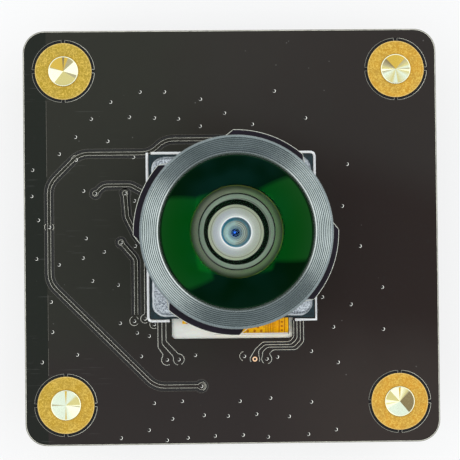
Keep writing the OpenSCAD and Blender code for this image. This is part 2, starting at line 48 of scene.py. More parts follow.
scene = bpy.context.scene


def box_mm(node):
    """A node's lowest and highest corners in millimetres."""
    low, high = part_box(node)
    return [c / MM for c in low], [c / MM for c in high]


# Levels and sizes in millimetres
_, board_high = box_mm("main_board")
BOARD = board_high[0]                  # half the board's edge
CORNER = 2.0                           # the radius of its corners
FRONT = board_high[2]
HOLE = 15.3                            # the mounting holes' centres, from both middle lines
SPACERS = ["spacer_%d" % k for k in range(1, 5)]
# The front ring's outermost groove, and the distance from groove to groove
GROOVES_OUT, GROOVE_PITCH = 8.1, 0.160625
# Heights above the board's front
FOOT_TOP, FLANGE_TOP = 2.9, 13.188
SHANK_LOW, SHANK_HIGH = 14.85, 15.75   # the bare turns of the lens's thread, from the floor


# Shader maths ---------------------------------------------------------------------------------

class Field:
    """One output of a shader node, with ordinary arithmetic on it."""

    def __init__(self, nodes, socket):
        self.nodes, self.socket = nodes, socket

    def math(self, operation, *values):
        return self.nodes.node("ShaderNodeMath", {"operation": operation}, dict(enumerate(values)))

    def __add__(self, other):
        return self.math("ADD", self, other)

    def __radd__(self, other):
        return self.math("ADD", other, self)

    def __sub__(self, other):
        return self.math("SUBTRACT", self, other)

    def __rsub__(self, other):
        return self.math("SUBTRACT", other, self)

    def __mul__(self, other):
        return self.math("MULTIPLY", self, other)

    def __rmul__(self, other):
        return self.math("MULTIPLY", other, self)

    def __truediv__(self, other):
        return self.math("DIVIDE", self, other)

    def __abs__(self):
        return self.math("ABSOLUTE", self)

    def __mod__(self, other):
        return self.math("FLOORED_MODULO", self, other)

    def over(self, level):
        return self.math("GREATER_THAN", self, level)

    def under(self, level):
        return self.math("LESS_THAN", self, level)

    def least(self, other):
        return self.math("MINIMUM", self, other)

    def most(self, other):
        return self.math("MAXIMUM", self, other)

    def wave(self, length):
        """Swings between -1 and 1, once in every length."""
        phase = self * (2 * math.pi / length)
        return self.math("SINE", phase)

    def root(self):
        return self.math("SQRT", self)

    def rise(self, start, end, low=0.0, high=1.0):
        """Goes smoothly from low at start to high at end."""
        return self.nodes.node(
            "ShaderNodeMapRange", {"interpolation_type": "SMOOTHSTEP"},
            {0: self, 1: start, 2: end, 3: low, 4: high})


class Nodes:
    """A node tree that takes numbers, colours and Fields alike."""

    def __init__(self, tree):
        self.tree = tree

    def fill(self, socket, value):
        if isinstance(value, Field):
            self.tree.links.new(value.socket, socket)
        elif hasattr(socket.default_value, "__len__") and len(socket.default_value) == 4:
            socket.default_value = (*value, 1.0) if len(value) == 3 else value
        else:
            socket.default_value = value

    def node(self, kind, settings=None, sockets=None, output=0):
        """Adds a node: its settings first, then the values or links of its sockets."""
        made = self.tree.nodes.new(kind)
        for key, value in (settings or {}).items():
            if key == "stops":
                ramp = made.color_ramp.elements
                while len(ramp) < len(value):
                    ramp.new(0.5)
                for element, (place, colour) in zip(ramp, value):
                    element.position, element.color = place, (*colour, 1.0)
            else:
                setattr(made, key, value)
        for key, value in (sockets or {}).items():
            self.fill(made.inputs[key], value)
        return Field(self, made.outputs[output])

    def axes(self, at):
        first = self.node("ShaderNodeSeparateXYZ", None, {0: at})
        return [Field(self, socket) for socket in first.socket.node.outputs]


class Finish(Nodes):
    """One procedural material. Uniform values go straight onto the shader's own sockets."""

    def __init__(self, name, **uniform):
        self.material = bpy.data.materials.new(name)
        self.material.use_nodes = True
        super().__init__(self.material.node_tree)
        self.tree.nodes.clear()
        self.shader = self.tree.nodes.new("ShaderNodeBsdfPrincipled")
        self.output = self.tree.nodes.new("ShaderNodeOutputMaterial")
        self.show(Field(self, self.shader.outputs[0]))
        self.set(**uniform)

    def show(self, surface):
        self.surface = surface
        self.fill(self.output.inputs[0], surface)

    def set(self, shader=None, **values):
        for key, value in values.items():
            name = key.replace("_", " ").title().replace("Ior", "IOR")
            self.fill((shader or self.shader).inputs[name], value)

    def cover(self, share, layer):
        """Lays another shader over a share of the surface."""
        self.show(self.node("ShaderNodeMixShader", None, {0: share, 1: self.surface, 2: layer}))

    def paint(self, share, **values):
        """Lays an opaque paint over a share of the surface."""
        layer = self.node("ShaderNodeBsdfPrincipled")
        self.set(layer.socket.node, **values)
        self.cover(share, layer)

    def place(self):
        """Where a point is, in millimetres."""
        at = self.node("ShaderNodeTexCoord", output=3)
        return self.node("ShaderNodeVectorMath", {"operation": "SCALE"}, {0: at, "Scale": 1 / MM})

    def spot(self):
        """Where a point is, as a vector and as its three parts."""
        at = self.place()
        return (at, *self.axes(at))

    def vector(self, x, y, z):
        return self.node("ShaderNodeCombineXYZ", None, {0: x, 1: y, 2: z})

    def turned(self, at, degrees=0.0, scale=(1.0, 1.0, 1.0), shift=(0.0, 0.0, 0.0)):
        return self.node("ShaderNodeMapping", None, {
            0: at, 1: shift, 2: (0.0, 0.0, math.radians(degrees)), 3: scale})

    def noise(self, at, scale, detail=2.0, roughness=0.5, distortion=0.0):
        """Clouds of so many spots to the millimetre."""
        return self.node("ShaderNodeTexNoise", None, {
            "Vector": at, "Scale": scale, "Detail": detail, "Roughness": roughness,
            "Distortion": distortion})

    def cells(self, at, scale):
        return self.node("ShaderNodeTexVoronoi", None, {"Vector": at, "Scale": scale})

    def rings(self, radius, count):
        """Uneven turned rings, so many to the millimetre."""
        return self.noise(self.vector(radius * count, 0.0, 0.0), 1.0, 1.0)

    def dust(self, at):
        return self.cells(at, 1.9).rise(0.035, 0.02) * self.noise(at, 1.3, 0.0).rise(0.58, 0.62)

    def blend(self, factor, first, second):
        return self.node("ShaderNodeMix", {"data_type": "RGBA"},
                         {0: factor, 6: first, 7: second}, output=2)

    def layers(self, colour, *coats):
        """Colours laid over one another, each with its share of the surface."""
        for share, coat in coats:
            colour = self.blend(share, colour, coat)
        return colour

    def coat(self, colour, roughness, height):
        self.set(base_color=colour, roughness=roughness, normal=self.relief(height))

    def relief(self, height):
        """A normal from a height in millimetres."""
        return self.node("ShaderNodeBump", None, {"Strength": 1.0, "Distance": MM,
                                                  "Height": height})


def away(x, y):
    """How far from the middle axis a point is."""
    return (x * x + y * y).root()


finishes = {}


def finish(name, **uniform):
    made = Finish(name, **uniform)
    finishes[name] = made
    return made


def dress(name, *nodes):
    """Gives CAD nodes a finish."""
    for node in nodes:
        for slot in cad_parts[node].material_slots:
            slot.material = finishes[name].material


# Finishes -------------------------------------------------------------------------------------

def coat_board(f):
    """The board's matt black coating, over copper and bare laminate, with handling marks."""
    at, x, y, z = f.spot()
    cloud = f.noise(at, 0.16, 2.0)
    mottle = f.noise(at, 2.2, 4.0, 0.6)
    warm = (x * 0.05 + cloud * 0.6).rise(-0.2, 0.9)
    colour = f.blend(warm, (0.018, 0.0185, 0.0115), (0.011, 0.003, 0.001))
    low = (y * -0.1 + cloud * 0.5).rise(0.8, 1.7)
    colour = f.blend(low * 0.85, colour, f.blend(x.rise(0.0, 12.0), (0.018, 0.0115, 0.0105),
                                                 (0.030, 0.021, 0.017)))
    high = (y + x * 0.3).rise(7.0, 13.0) * x.rise(-9.0, 2.0)
    colour = f.blend(high * 0.55, colour, (0.026, 0.023, 0.0195))
    bare = x.rise(-16.95, -16.85, 1.0, 0.0)
    colour = f.layers(
        colour, (bare * 0.8, (0.0015, 0.005, 0.001)),
        (mottle.rise(0.5, 0.8) * 0.3, (0.02, 0.019, 0.017)))
    # fine scratches, mostly near the left edge
    stroke = f.noise(f.turned(at, 28.0, (0.35, 9.0, 1.0)), 1.0, 1.0)
    cross = f.noise(f.turned(at, -62.0, (0.3, 11.0, 1.0), (3.0, 7.0, 0.0)), 1.0, 1.0)
    where = f.noise(at, 0.35, 1.0).rise(0.5, 0.62) * x.rise(-9.0, -15.0)
    mark = (stroke.rise(0.71, 0.74) + cross.rise(0.715, 0.745)) * where
    colour = f.blend(mark.least(1.0) * 0.3, colour, (0.14, 0.14, 0.13))
    # dust
    speck = f.cells(at, 1.1).rise(0.075, 0.05)
    rare = f.noise(at, 1.7, 0.0).rise(0.6, 0.64)
    colour = f.blend(speck * rare * 0.5, colour, (0.22, 0.21, 0.2))
    return at, x, y, z, colour, mottle, mark


def board_finish():
    """The main board: its coating, its routed edge and the bare rings round its holes."""
    f = finish("board_coating", specular_ior_level=0.2)
    at, x, y, _, colour, mottle, mark = coat_board(f)
    # the routed edge: woven laminate, carried onto a thin rim of the front, which stands partly
    # for the coating stopping short of the edge and partly for a painted highlight along it
    straight = BOARD - CORNER
    past_x, past_y = (abs(x) - straight).most(0.0), (abs(y) - straight).most(0.0)
    edge = (away(past_x, past_y) - CORNER).rise(-0.12, -0.07)
    weave = f.noise(f.turned(at, 0.0, (3.0, 3.0, 14.0)), 1.0, 3.0)
    laminate_and_highlight = f.blend(weave.rise(0.3, 0.7), (0.16, 0.15, 0.105), (0.33, 0.31, 0.24))
    colour = f.blend(edge * 0.85, colour, laminate_and_highlight)
    # the bare ring round the plated holes
    radius = away(abs(x) - HOLE, abs(y) - HOLE)
    ring = radius.rise(2.88, 2.84)
    colour = f.blend(ring, colour, (0.004, 0.005, 0.006))
    peel = f.noise(at, 5.0, 3.0, 0.6)
    f.coat(colour, (mottle * 0.22 + 0.36 + mark * 0.1 + edge * 0.25).least(0.9),
           peel * 0.0016 + edge * weave * 0.02)


def relief_finish():
    """The same coating over the copper's edges: dark floors, rims painted lighter and creases
    painted bright, as highlights.
    """
    f = finish("coating_relief", specular_ior_level=0.3)
    at, x, y, z, colour, mottle, _ = coat_board(f)
    lift = z - FRONT
    wear_and_sheen = f.noise(at, 1.6, 3.0).rise(0.3, 0.6, 0.6, 1.0)
    # the creases' painted highlight varies with wear, and round the plated holes it stays bright
    # only on the side toward +X
    side = x - (x.over(0.0) * 2.0 - 1.0) * HOLE
    near = away(side, abs(y) - HOLE).under(3.0)
    wear_and_sheen = wear_and_sheen * (1.0 - near * side.rise(2.3, -1.6) * 0.75)
    colour = f.blend(lift.rise(0.007, 0.003) * 0.85, colour, (0.002, 0.002, 0.002))
    rim, crease = lift.rise(0.013, 0.0155), lift.rise(0.028, 0.034)
    # the rims painted lighter grey and the creases painted bright: painted highlights
    colour = f.layers(
        colour, (rim * 0.8, (0.20, 0.19, 0.16)),
        (crease * wear_and_sheen, (0.86, 0.84, 0.72)))
    f.set(base_color=colour, metallic=rim * 0.4 + crease * wear_and_sheen * 0.45,
          roughness=mottle * 0.16 + 0.2, normal=f.relief(f.noise(at, 9.0, 2.0) * 0.0012))


def gold_finish():
    """Gold over copper: blotched, with curls and fine brush marks."""
    f = finish("gold_plate", metallic=1.0)
    at, x, y, _ = f.spot()
    cloud = f.noise(at, 0.9, 3.0)
    blotch = f.noise(at, 3.8, 5.0, 0.7, 0.8)
    curl = f.noise(at, 3.4, 3.0, 0.55, 2.2)
    warm = (x * 0.03 - y * 0.02 + 0.5).rise(0.0, 1.0)
    colour = f.blend(warm, (0.375, 0.256, 0.031), (0.535, 0.262, 0.033))
    colour = f.layers(
        colour, (cloud.rise(0.35, 0.65) * 0.35, (0.374, 0.266, 0.0648)),
        (blotch.rise(0.52, 0.64) * 0.5, (0.648, 0.432, 0.0828)),
        (curl.rise(0.52, 0.58) * curl.rise(0.68, 0.62) * 0.6, (0.8, 0.56, 0.12)))
    # lighter towards the pad's outer edge as a painted highlight, and darker towards the hole as
    # painted shade where the pad meets the spacer
    radius = away(abs(x) - HOLE, abs(y) - HOLE)
    colour = f.layers(
        colour, (radius.rise(2.48, 2.58) * 0.5, (0.8, 0.592, 0.224)),
        (radius.rise(1.62, 1.42) * 0.4, (0.396, 0.216, 0.0216)))
    hair = f.noise(f.turned(at, 75.0, (1.2, 26.0, 1.0)), 1.0, 2.0)
    grit = f.noise(at, 14.0, 3.0, 0.6)
    f.coat(colour, 0.28 + cloud * 0.12 + hair.rise(0.55, 0.8) * 0.1,
           hair * 0.0015 + grit * 0.0015 + blotch * 0.009 + curl * 0.008)


# How the painted sheen of each corner's turned face, reflections painted into its colour, changes
# round it, in turns from the -X side, anticlockwise
PALE, CREAM, KHAKI = (0.62, 0.69, 0.55), (0.88, 0.88, 0.62), (0.55, 0.49, 0.20)
OCHRE, BROWN, GREY = (0.56, 0.38, 0.06), (0.20, 0.155, 0.075), (0.37, 0.33, 0.19)
PAINTED_SHEEN = [
    ((-1, 1), [(0.0, CREAM), (0.14, CREAM), (0.145, KHAKI), (0.41, KHAKI), (0.42, GREY),
               (0.45, GREY), (0.46, CREAM), (0.612, CREAM), (0.618, GREY), (0.69, GREY),
               (0.70, OCHRE), (0.735, OCHRE), (0.738, BROWN), (0.76, BROWN), (0.763, OCHRE),
               (0.945, OCHRE), (0.955, GREY), (0.97, CREAM), (1.0, CREAM)]),
    ((1, 1), [(0.0, CREAM), (0.02, CREAM), (0.03, GREY), (0.07, PALE), (0.2, KHAKI),
              (0.235, PALE), (0.265, PALE), (0.28, KHAKI), (0.4, PALE), (0.46, KHAKI),
              (0.485, CREAM), (0.50, GREY), (0.53, PALE), (0.56, KHAKI), (0.63, GREY),
              (0.64, OCHRE), (0.86, OCHRE), (0.875, BROWN), (0.94, GREY), (0.98, KHAKI)]),
    ((-1, -1), [(0.0, GREY), (0.012, PALE), (0.24, PALE), (0.243, OCHRE), (0.257, OCHRE),
                (0.26, PALE), (0.38, CREAM), (0.47, CREAM), (0.483, BROWN), (0.49, CREAM),
                (0.51, KHAKI), (0.60, KHAKI), (0.64, PALE), (0.735, PALE), (0.74, OCHRE),
                (0.76, OCHRE), (0.765, PALE), (0.985, PALE), (0.99, GREY), (1.0, GREY)]),
    ((1, -1), [(0.0, CREAM), (0.015, CREAM), (0.02, KHAKI), (0.05, CREAM), (0.09, PALE),
               (0.355, PALE), (0.365, BROWN), (0.62, BROWN), (0.635, GREY), (0.65, KHAKI),
               (0.735, CREAM), (0.74, OCHRE), (0.76, OCHRE), (0.765, CREAM), (0.86, CREAM),
               (0.87, KHAKI), (0.97, KHAKI), (0.99, CREAM), (1.0, CREAM)]),
]


def brass_finish():
    """Turned metal: the end faces carry a painted sheen in sectors and a rim painted bright as a
    highlight, and rings run along the sides.
    """
    f = finish("turned_brass", metallic=1.0)
    at, x, y, z = f.spot()
    radius = away(abs(x) - HOLE, abs(y) - HOLE)
    stain = f.noise(at, 2.4, 4.0, 0.6)
    grain = f.noise(at, 9.0, 3.0, 0.7)
    face = z.over(FRONT + 0.05)
    turned = f.noise(f.vector(0.0, 0.0, z * 16.0), 1.0, 2.0)
    colour = f.blend(turned.rise(0.35, 0.65), (0.86, 0.71, 0.40), (0.80, 0.64, 0.34))
    # the end faces' painted sheen: reflections painted into the colour, sector by sector round
    # each face
    for (sx, sy), stops in PAINTED_SHEEN:
        round_it = y.math("ARCTAN2", y - sy * HOLE, x - sx * HOLE) / (2 * math.pi) + 0.5
        sheen = f.node("ShaderNodeValToRGB", {"stops": stops}, {0: round_it})
        here = (x * sx).over(0.0) * (y * sy).over(0.0) * face
        colour = f.blend(here, colour, sheen)
    colour = f.blend(grain.rise(0.5, 0.8) * face * 0.35, colour, (0.45, 0.40, 0.22))
    # the rim of each end face is painted bright as the highlight on its chamfer
    rim = radius.rise(1.28, 1.31)
    colour = f.blend(rim * face, colour, (0.86, 0.86, 0.62))
    f.coat(colour, stain * 0.08 + 0.22, z.wave(0.12) * 0.0022 * z.under(FRONT))


def plain_metal(name, light, dark, rough, grain=0.0012, scale=9.0, metallic=1.0, **more):
    """Cast, blasted or rolled metal, with a grain and slow changes of tone."""
    f = finish(name, metallic=metallic, **more)
    at = f.place()
    slow = f.noise(at, 0.8, 3.0)
    fine = f.noise(at, scale, 3.0, 0.65)
    colour = f.blend(fine.rise(0.3, 0.7), dark, light)
    colour = f.blend(slow.rise(0.4, 0.7) * 0.3, colour, dark)
    f.coat(colour, fine * 0.15 + rough, fine * grain)


def moulded(name, light, dark, rough, grain=0.001, scale=7.0, **more):
    """Moulded plastic or ceramic with a light grain."""
    f = finish(name, **more)
    at = f.place()
    slow = f.noise(at, 0.6, 3.0)
    fine = f.noise(at, scale, 3.0, 0.6)
    colour = f.blend(slow.rise(0.3, 0.7), dark, light)
    f.coat(colour, fine * 0.2 + rough, fine * grain)


def module_finish():
    """The sensor board's dark green coating."""
    f = finish("module_coating", specular_ior_level=0.3)
    at = f.place()
    fine = f.noise(at, 4.0, 4.0, 0.6)
    colour = f.blend(fine.rise(0.35, 0.7), (0.0, 0.009, 0.014), (0.003, 0.028, 0.036))
    f.coat(colour, fine * 0.2 + 0.3, fine * 0.002)


def blasted_finish():
    """Blasted metal, whose grain is coarsest on the foot's top faces."""
    f = finish("blasted_metal", metallic=0.85)
    at = f.place()
    grains = f.cells(at, 5.5)
    fine = f.noise(at, 7.5, 4.0, 0.7)
    slow = f.noise(at, 1.2, 3.0)
    top = abs(f.axes(at)[2] - (FRONT + FOOT_TOP)).rise(0.35, 0.2)
    colour = f.blend(fine.rise(0.43, 0.57) * (top * 0.7 + 0.3) + 0.5 * (1.0 - top),
                     (0.17, 0.19, 0.23), (0.70, 0.75, 0.78))
    colour = f.layers(
        colour, (grains.rise(0.5, 0.75) * (top * 0.4 + 0.2), (0.76, 0.81, 0.84)),
        (slow.rise(0.5, 0.8) * 0.4, (0.31, 0.345, 0.385)))
    f.coat(colour, fine * 0.2 + 0.42, fine * 0.012 + grains * 0.009)


def barrel_finish():
    """Black anodised metal, slightly violet, with turned rings."""
    f = finish("black_anodised", specular_ior_level=0.12)
    at, x, y, z = f.spot()
    radius = away(x, y)
    slow = f.noise(at, 0.7, 3.0)
    fine = f.noise(at, 11.0, 3.0, 0.6)
    colour = f.blend(slow.rise(0.3, 0.7), (0.0075, 0.0050, 0.0105), (0.0135, 0.0085, 0.018))
    inside = radius.rise(7.3, 7.2)
    colour = f.blend(inside, colour, (0.004, 0.004, 0.005))
    f.coat(colour, fine * 0.12 + 0.3, (z.wave(0.11) + radius.wave(0.11)) * 0.0012 + fine * 0.001)


def ring_finish():
    """Grey anodised metal, turned, with painted shade in its grooves and its lip painted bright as
    a highlight.
    """
    f = finish("grey_anodised", metallic=0.9)
    at, x, y, z = f.spot()
    radius = away(x, y)
    angle = y.math("ARCTAN2", y, x)
    slow = f.noise(at, 0.5, 3.0)
    fine = f.noise(at, 12.0, 3.0, 0.6)
    streak = f.noise(f.vector(radius * 14.0, angle * 0.6, z * 6.0), 1.0, 2.0)
    colour = f.blend(slow.rise(0.3, 0.7), (0.37, 0.425, 0.405), (0.48, 0.54, 0.52))
    colour = f.blend(streak.rise(0.45, 0.75) * 0.45, colour, (0.30, 0.35, 0.375))
    nick = f.cells(at, 2.6).rise(0.07, 0.05) * fine.rise(0.45, 0.6)
    colour = f.blend(nick * 0.7, colour, (0.85, 0.88, 0.9))
    # painted shade in the grooves, a dull outer rim with a bluish band inside it, and the lip
    # painted bright as a highlight, with a dark line along it
    groove = ((GROOVES_OUT - radius) / GROOVE_PITCH) % 1.0
    groove_shade = (abs(groove - 0.51).rise(0.23, 0.14) * radius.rise(6.81, 6.83)
            * radius.rise(GROOVES_OUT, GROOVES_OUT - 0.02))
    colour = f.layers(
        colour, (groove_shade * 0.75, (0.06, 0.075, 0.085)),
        (radius.rise(8.2, 8.25) * 0.35, (0.14, 0.165, 0.175)),
        (radius.rise(8.1, 8.13) * radius.rise(8.22, 8.19) * 0.5, (0.30, 0.38, 0.42)))
    lip = radius.rise(6.82, 6.80) * radius.rise(6.69, 6.70)
    # the lip painted bright as a highlight, with a dark line along it
    colour = f.layers(
        colour, (radius.rise(6.82, 6.80), (0.62, 0.66, 0.64)),
        (abs(radius - 6.705).rise(0.03, 0.015) * 0.85, (0.05, 0.06, 0.06)))
    f.coat(colour, fine * 0.1 + 0.2 + streak * 0.05,
           streak * 0.003 + fine * 0.0012 - lip * radius * 0.5)


def glass_finish(name, tint, coat, ior=1.6):
    """Polished coated glass: reflections take the coating's colour, with a breath of dust."""
    f = finish(name, transmission_weight=1.0, ior=ior, specular_tint=coat)
    at = f.place()
    f.set(base_color=f.blend(f.noise(at, 0.8, 2.0), tint, (1.0, 1.0, 1.0)),
          roughness=f.dust(at) * 0.08)


def front_glass_finish():
    """The front glass: green coating over a clear middle and a blackened margin, whose faint
    blue-green is a painted reflection, with a frosted band on the hollow that also stands in for
    the light the hollow throws back, painted paler on the left."""
    f = finish("front_glass", transmission_weight=1.0, ior=1.6, specular_ior_level=0.14,
               specular_tint=(0.03, 0.14, 0.06))
    at, x, y, z = f.spot()
    radius = away(x, y)
    dust = f.dust(at)
    f.set(base_color=f.blend(f.noise(at, 0.8, 2.0), (0.97, 1.0, 0.97), (1.0, 1.0, 1.0)),
          roughness=dust * 0.08)
    low = z.under(FRONT + 14.5)
    band = radius.over(3.0) * low
    edge = radius.over(6.52) * z.under(FRONT + 15.4)
    mark = f.rings(radius, 30.0)
    # the band's pale tone is partly frost and partly painted light, and it is painted paler on the
    # left, where the light falls
    left = (x * -0.22 + 0.5).rise(0.0, 1.0)
    pale = f.blend(left, (0.68, 1.0, 0.50), (0.94, 1.0, 0.74))
    colour = f.blend(radius.rise(2.98, 3.03), (0.1, 0.13, 0.1), pale)
    # darker green further out, turned marks, a thin yellow-green line at the hollow's edge painted
    # as its glint, black beyond, and the ground side wall grey
    colour = f.layers(
        colour, (radius.rise(3.22, 3.47) * 0.7, (0.22, 0.42, 0.18)),
        (mark.rise(0.4, 0.7) * 0.3, (0.2, 0.26, 0.16)),
        (radius.over(3.49), (0.50, 0.60, 0.14)),
        (radius.over(3.56), (0.0, 0.0004, 0.0002)),
        (edge, (0.32, 0.35, 0.34)))
    f.paint(band.most(edge), base_color=colour, roughness=0.6, specular_ior_level=0.0)
    # the margin: near-black, with a faint blue-green painted reflection of the dim room, lighter
    # at the top middle and darker towards the sides and the bottom
    margin = radius.rise(3.82, 4.06) * z.over(FRONT + 15.21)
    margin_reflection = f.blend(f.noise(at, 0.28, 1.0).rise(0.35, 0.65), (0.0, 0.001, 0.003),
                   (0.002, 0.0085, 0.011))
    margin_reflection = f.blend((abs(x).rise(2.0, 5.5) * 0.85).most(y.rise(-1.0, -5.0) * 0.55), margin_reflection,
                   (0.0, 0.0, 0.0))
    f.paint(margin, base_color=margin_reflection,
            roughness=dust * 0.1 + 0.01, ior=1.6, specular_tint=(0.001, 0.66, 0.03))


def hollow_finish():
    """The front glass's polished hollow, coated so that it throws back almost nothing, with a pale
    ring that is partly frost and partly painted light.
    """
    f = finish("hollow_glass", transmission_weight=1.0, ior=1.6, specular_tint=(0.03, 0.04, 0.04))
    at, x, y, _ = f.spot()
    radius = away(x, y)
    haze = f.noise(at, 0.8, 2.0)
    f.set(base_color=f.blend(haze, (0.98, 1.0, 0.98), (1.0, 1.0, 1.0)), roughness=haze * 0.02)
    # a pale ring, partly frost and partly painted light that stands in for the bright rings seen
    # through the hollow
    frost_and_light = radius.rise(2.57, 2.63) * radius.rise(2.94, 2.88) * 0.9
    f.paint(frost_and_light, base_color=f.blend(haze, (0.78, 1.0, 0.76), (0.86, 1.0, 0.82)), roughness=0.6,
            specular_ior_level=0.0)


def second_glass_finish():
    """The second glass: a clear middle, and a zone out to its edge painted as the silvery
    reflections the glass throws back.
    """
    f = finish("second_glass", transmission_weight=1.0, ior=1.6, specular_tint=(0.06, 0.1, 0.2))
    at, x, y, _ = f.spot()
    radius = away(x, y)
    haze = f.noise(at, 0.8, 2.0)
    f.set(base_color=f.blend(haze, (0.97, 1.0, 0.98), (1.0, 1.0, 1.0)), roughness=haze * 0.02)
    zone = radius.over(1.5)
    mark = f.rings(radius, 24.0)
    # the zone's colours are painted reflections: bluer on the left, paler towards the edge, a
    # painted glow and a bright ring at the inner edge, and a blue ring inside it
    cool = (x * -0.3 + 0.5).rise(0.0, 1.0)
    colour = f.blend(cool, (0.52, 0.55, 0.48), (0.53, 0.56, 0.60))
    colour = f.layers(
        colour, (radius.rise(2.3, 2.75), (0.60, 0.64, 0.47)),
        (radius.rise(2.1, 1.66) * 0.5, (0.92, 0.95, 0.96)),
        (radius.rise(1.72, 1.64), (1.0, 1.0, 0.98)),
        (radius.rise(1.56, 1.53), (0.15, 0.30, 0.45)),
        (mark.rise(0.45, 0.7) * 0.2, (0.35, 0.38, 0.34)))
    line = radius.rise(2.60, 2.64) * radius.rise(2.74, 2.70)
    colour = f.layers(
        colour, (line * 0.7, (0.2, 0.22, 0.18)),
        (radius.over(3.02), (0.001, 0.001, 0.001)))
    f.paint(zone, base_color=colour, roughness=0.35, metallic=0.6, specular_ior_level=0.15,
            normal=f.relief(radius * radius * 0.11))


def pupil_finish():
    """The glass behind the stop, painted over with the blue its coating throws back, a painted
    reflection: darker to the right, with a painted highlight spot.
    """
    f = finish("pupil_glass", transmission_weight=1.0, ior=1.6, specular_tint=(0.1, 0.2, 0.6))
    at = f.place()
    haze = f.noise(at, 1.5, 2.0)
    f.set(base_color=f.blend(haze, (0.5, 0.75, 1.0), (0.6, 0.8, 1.0)), roughness=haze * 0.03)
    x, y, _ = f.axes(at)
    # a painted highlight spot, left of the middle
    spot = away(x + 0.1, y - 0.06).rise(0.28, 0.06)
    blue = f.blend(x.rise(0.5, -0.7), (0.0002, 0.003, 0.03), (0.001, 0.02, 0.16))
    blue = f.blend(spot, blue, (0.02, 0.2, 1.0))
    f.paint(0.97, base_color=blue, roughness=0.25, metallic=1.0)


def washer_finish():
    """A pale turned washer with fine rings."""
    f = finish("washer_metal", metallic=0.1)
    _, x, y, _ = f.spot()
    radius = away(x, y)
    ring = f.rings(radius, 20.0)
    colour = f.blend(ring.rise(0.4, 0.65), (1.0, 1.0, 0.94), (0.66, 0.74, 0.62))
    f.coat(colour, ring * 0.15 + 0.35, ring * 0.006)


def copper_finish():
    """Bare copper round a hole whose flat floor is painted black as its shade."""
    f = finish("via_copper")
    at, _, _, z = f.spot()
    fine = f.noise(at, 9.0, 3.0, 0.65)
    ring = z.rise(FRONT + 0.006, FRONT + 0.012)
    colour = f.blend(fine.rise(0.3, 0.7), (0.85, 0.50, 0.28), (0.98, 0.66, 0.42))
    # the floor inside the ring is painted black as the hole's shade
    colour = f.blend(ring, (0.001, 0.001, 0.001), colour)
    f.set(base_color=colour, metallic=ring, roughness=fine * 0.15 + 0.25)


def stop_finish():
    """The stop, painted with the rings of blue, grey and pale light that the coated glasses above
    it throw back: painted reflections.
    """
    f = finish("stop_sheet")
    _, x, y, _ = f.spot()
    radius = away(x, y)
    # painted reflections: paler and bluer on the left, and on the right rings of light and dark
    left = (x * -0.5 + 0.5).rise(0.1, 0.9)
    mark = f.rings(radius, 16.0)
    inner = f.blend(left, (0.86, 0.94, 0.84), (0.72, 1.0, 1.0))
    outer = f.blend(left, (0.40, 0.80, 1.0), (0.14, 0.66, 1.0))
    colour = f.blend(radius.rise(0.8, 1.5), (0.20, 0.30, 0.36), inner)
    turned = radius.wave(0.3).rise(0.0, 0.8) * x.rise(-0.2, 0.5)
    colour = f.layers(
        colour, (turned * 0.7, (0.12, 0.13, 0.12)),
        (radius.rise(1.95, 2.05), outer),
        (radius.rise(2.5, 2.6), (0.85, 0.88, 0.88)),
        (mark.rise(0.5, 0.65) * 0.15, (0.14, 0.17, 0.18)))
    f.set(base_color=colour, metallic=1.0, roughness=mark * 0.1 + 0.3,
          normal=f.relief(mark * 0.004))


def via_finish():
    """Coated vias: a sunk middle painted dark as its shade, and a rim painted bright as a
    highlight where it stands highest.
    """
    f = finish("via_coating", specular_ior_level=0.3)
    at, _, _, z, colour, mottle, _ = coat_board(f)
    lift = z - FRONT
    crest = lift.rise(0.018, 0.040)
    # the sunk middle painted dark as shade, and the crest painted bright as a highlight
    colour = f.layers(
        colour, (lift.rise(0.015, 0.011) * 0.9, (0.001, 0.001, 0.001)),
        (crest, (0.92, 0.90, 0.82)))
    f.set(base_color=colour, metallic=crest * 0.85, roughness=mottle * 0.15 + 0.18,
          normal=f.relief(f.noise(at, 9.0, 2.0) * 0.0012))


def flex_finish():
    """Amber film over copper: a dotted mesh on one side, then straight tracks and test points."""
    f = finish("flex_film", specular_ior_level=0.1)
    at, x, y, _ = f.spot()
    dots = (x.wave(0.62) * y.wave(0.74)).rise(0.3, 0.55) * x.rise(2.95, 2.85)
    tracks = x.wave(0.156).rise(0.1, 0.6) * x.rise(2.95, 3.0) * x.rise(3.95, 3.9)
    edges = abs(abs(x - 4.52) - 0.25).rise(0.05, 0.03)
    points = abs(x - 4.52).rise(0.13, 0.08) * y.wave(0.38).rise(0.2, 0.5)
    lines = dots.most(tracks).most(edges).most(points)
    slow = f.noise(at, 0.7, 3.0)
    colour = f.blend(slow.rise(0.3, 0.7), (1.0, 0.43, 0.003), (1.0, 0.54, 0.008))
    colour = f.blend(lines * 0.85, colour, (0.42, 0.10, 0.003))
    f.coat(colour, slow * 0.1 + 0.3, lines * 0.012 + f.noise(at, 6.0, 2.0) * 0.002)


def cream_finish():
    """Pale moulded plastic that lets a little light in."""
    f = finish("guide_plastic", specular_ior_level=0.5, subsurface_weight=0.1,
               subsurface_scale=0.0003)
    at, x, _, _ = f.spot()
    slow = f.noise(at, 0.8, 3.0)
    colour = f.blend(x.rise(-4.5, 3.5), (0.90, 0.91, 0.84), (0.92, 0.90, 0.78))
    colour = f.blend(slow.rise(0.45, 0.8) * 0.25, colour, (0.6, 0.58, 0.5))
    f.coat(colour, slow * 0.15 + 0.35, f.noise(at, 8.0, 3.0) * 0.0015)


board_finish()
relief_finish()
gold_finish()
brass_finish()
module_finish()
blasted_finish()
barrel_finish()
ring_finish()
flex_finish()
cream_finish()
front_glass_finish()
second_glass_finish()
hollow_finish()
via_finish()
copper_finish()
moulded("white_print", (1.0, 1.0, 0.99), (0.94, 0.94, 0.93), 0.4)
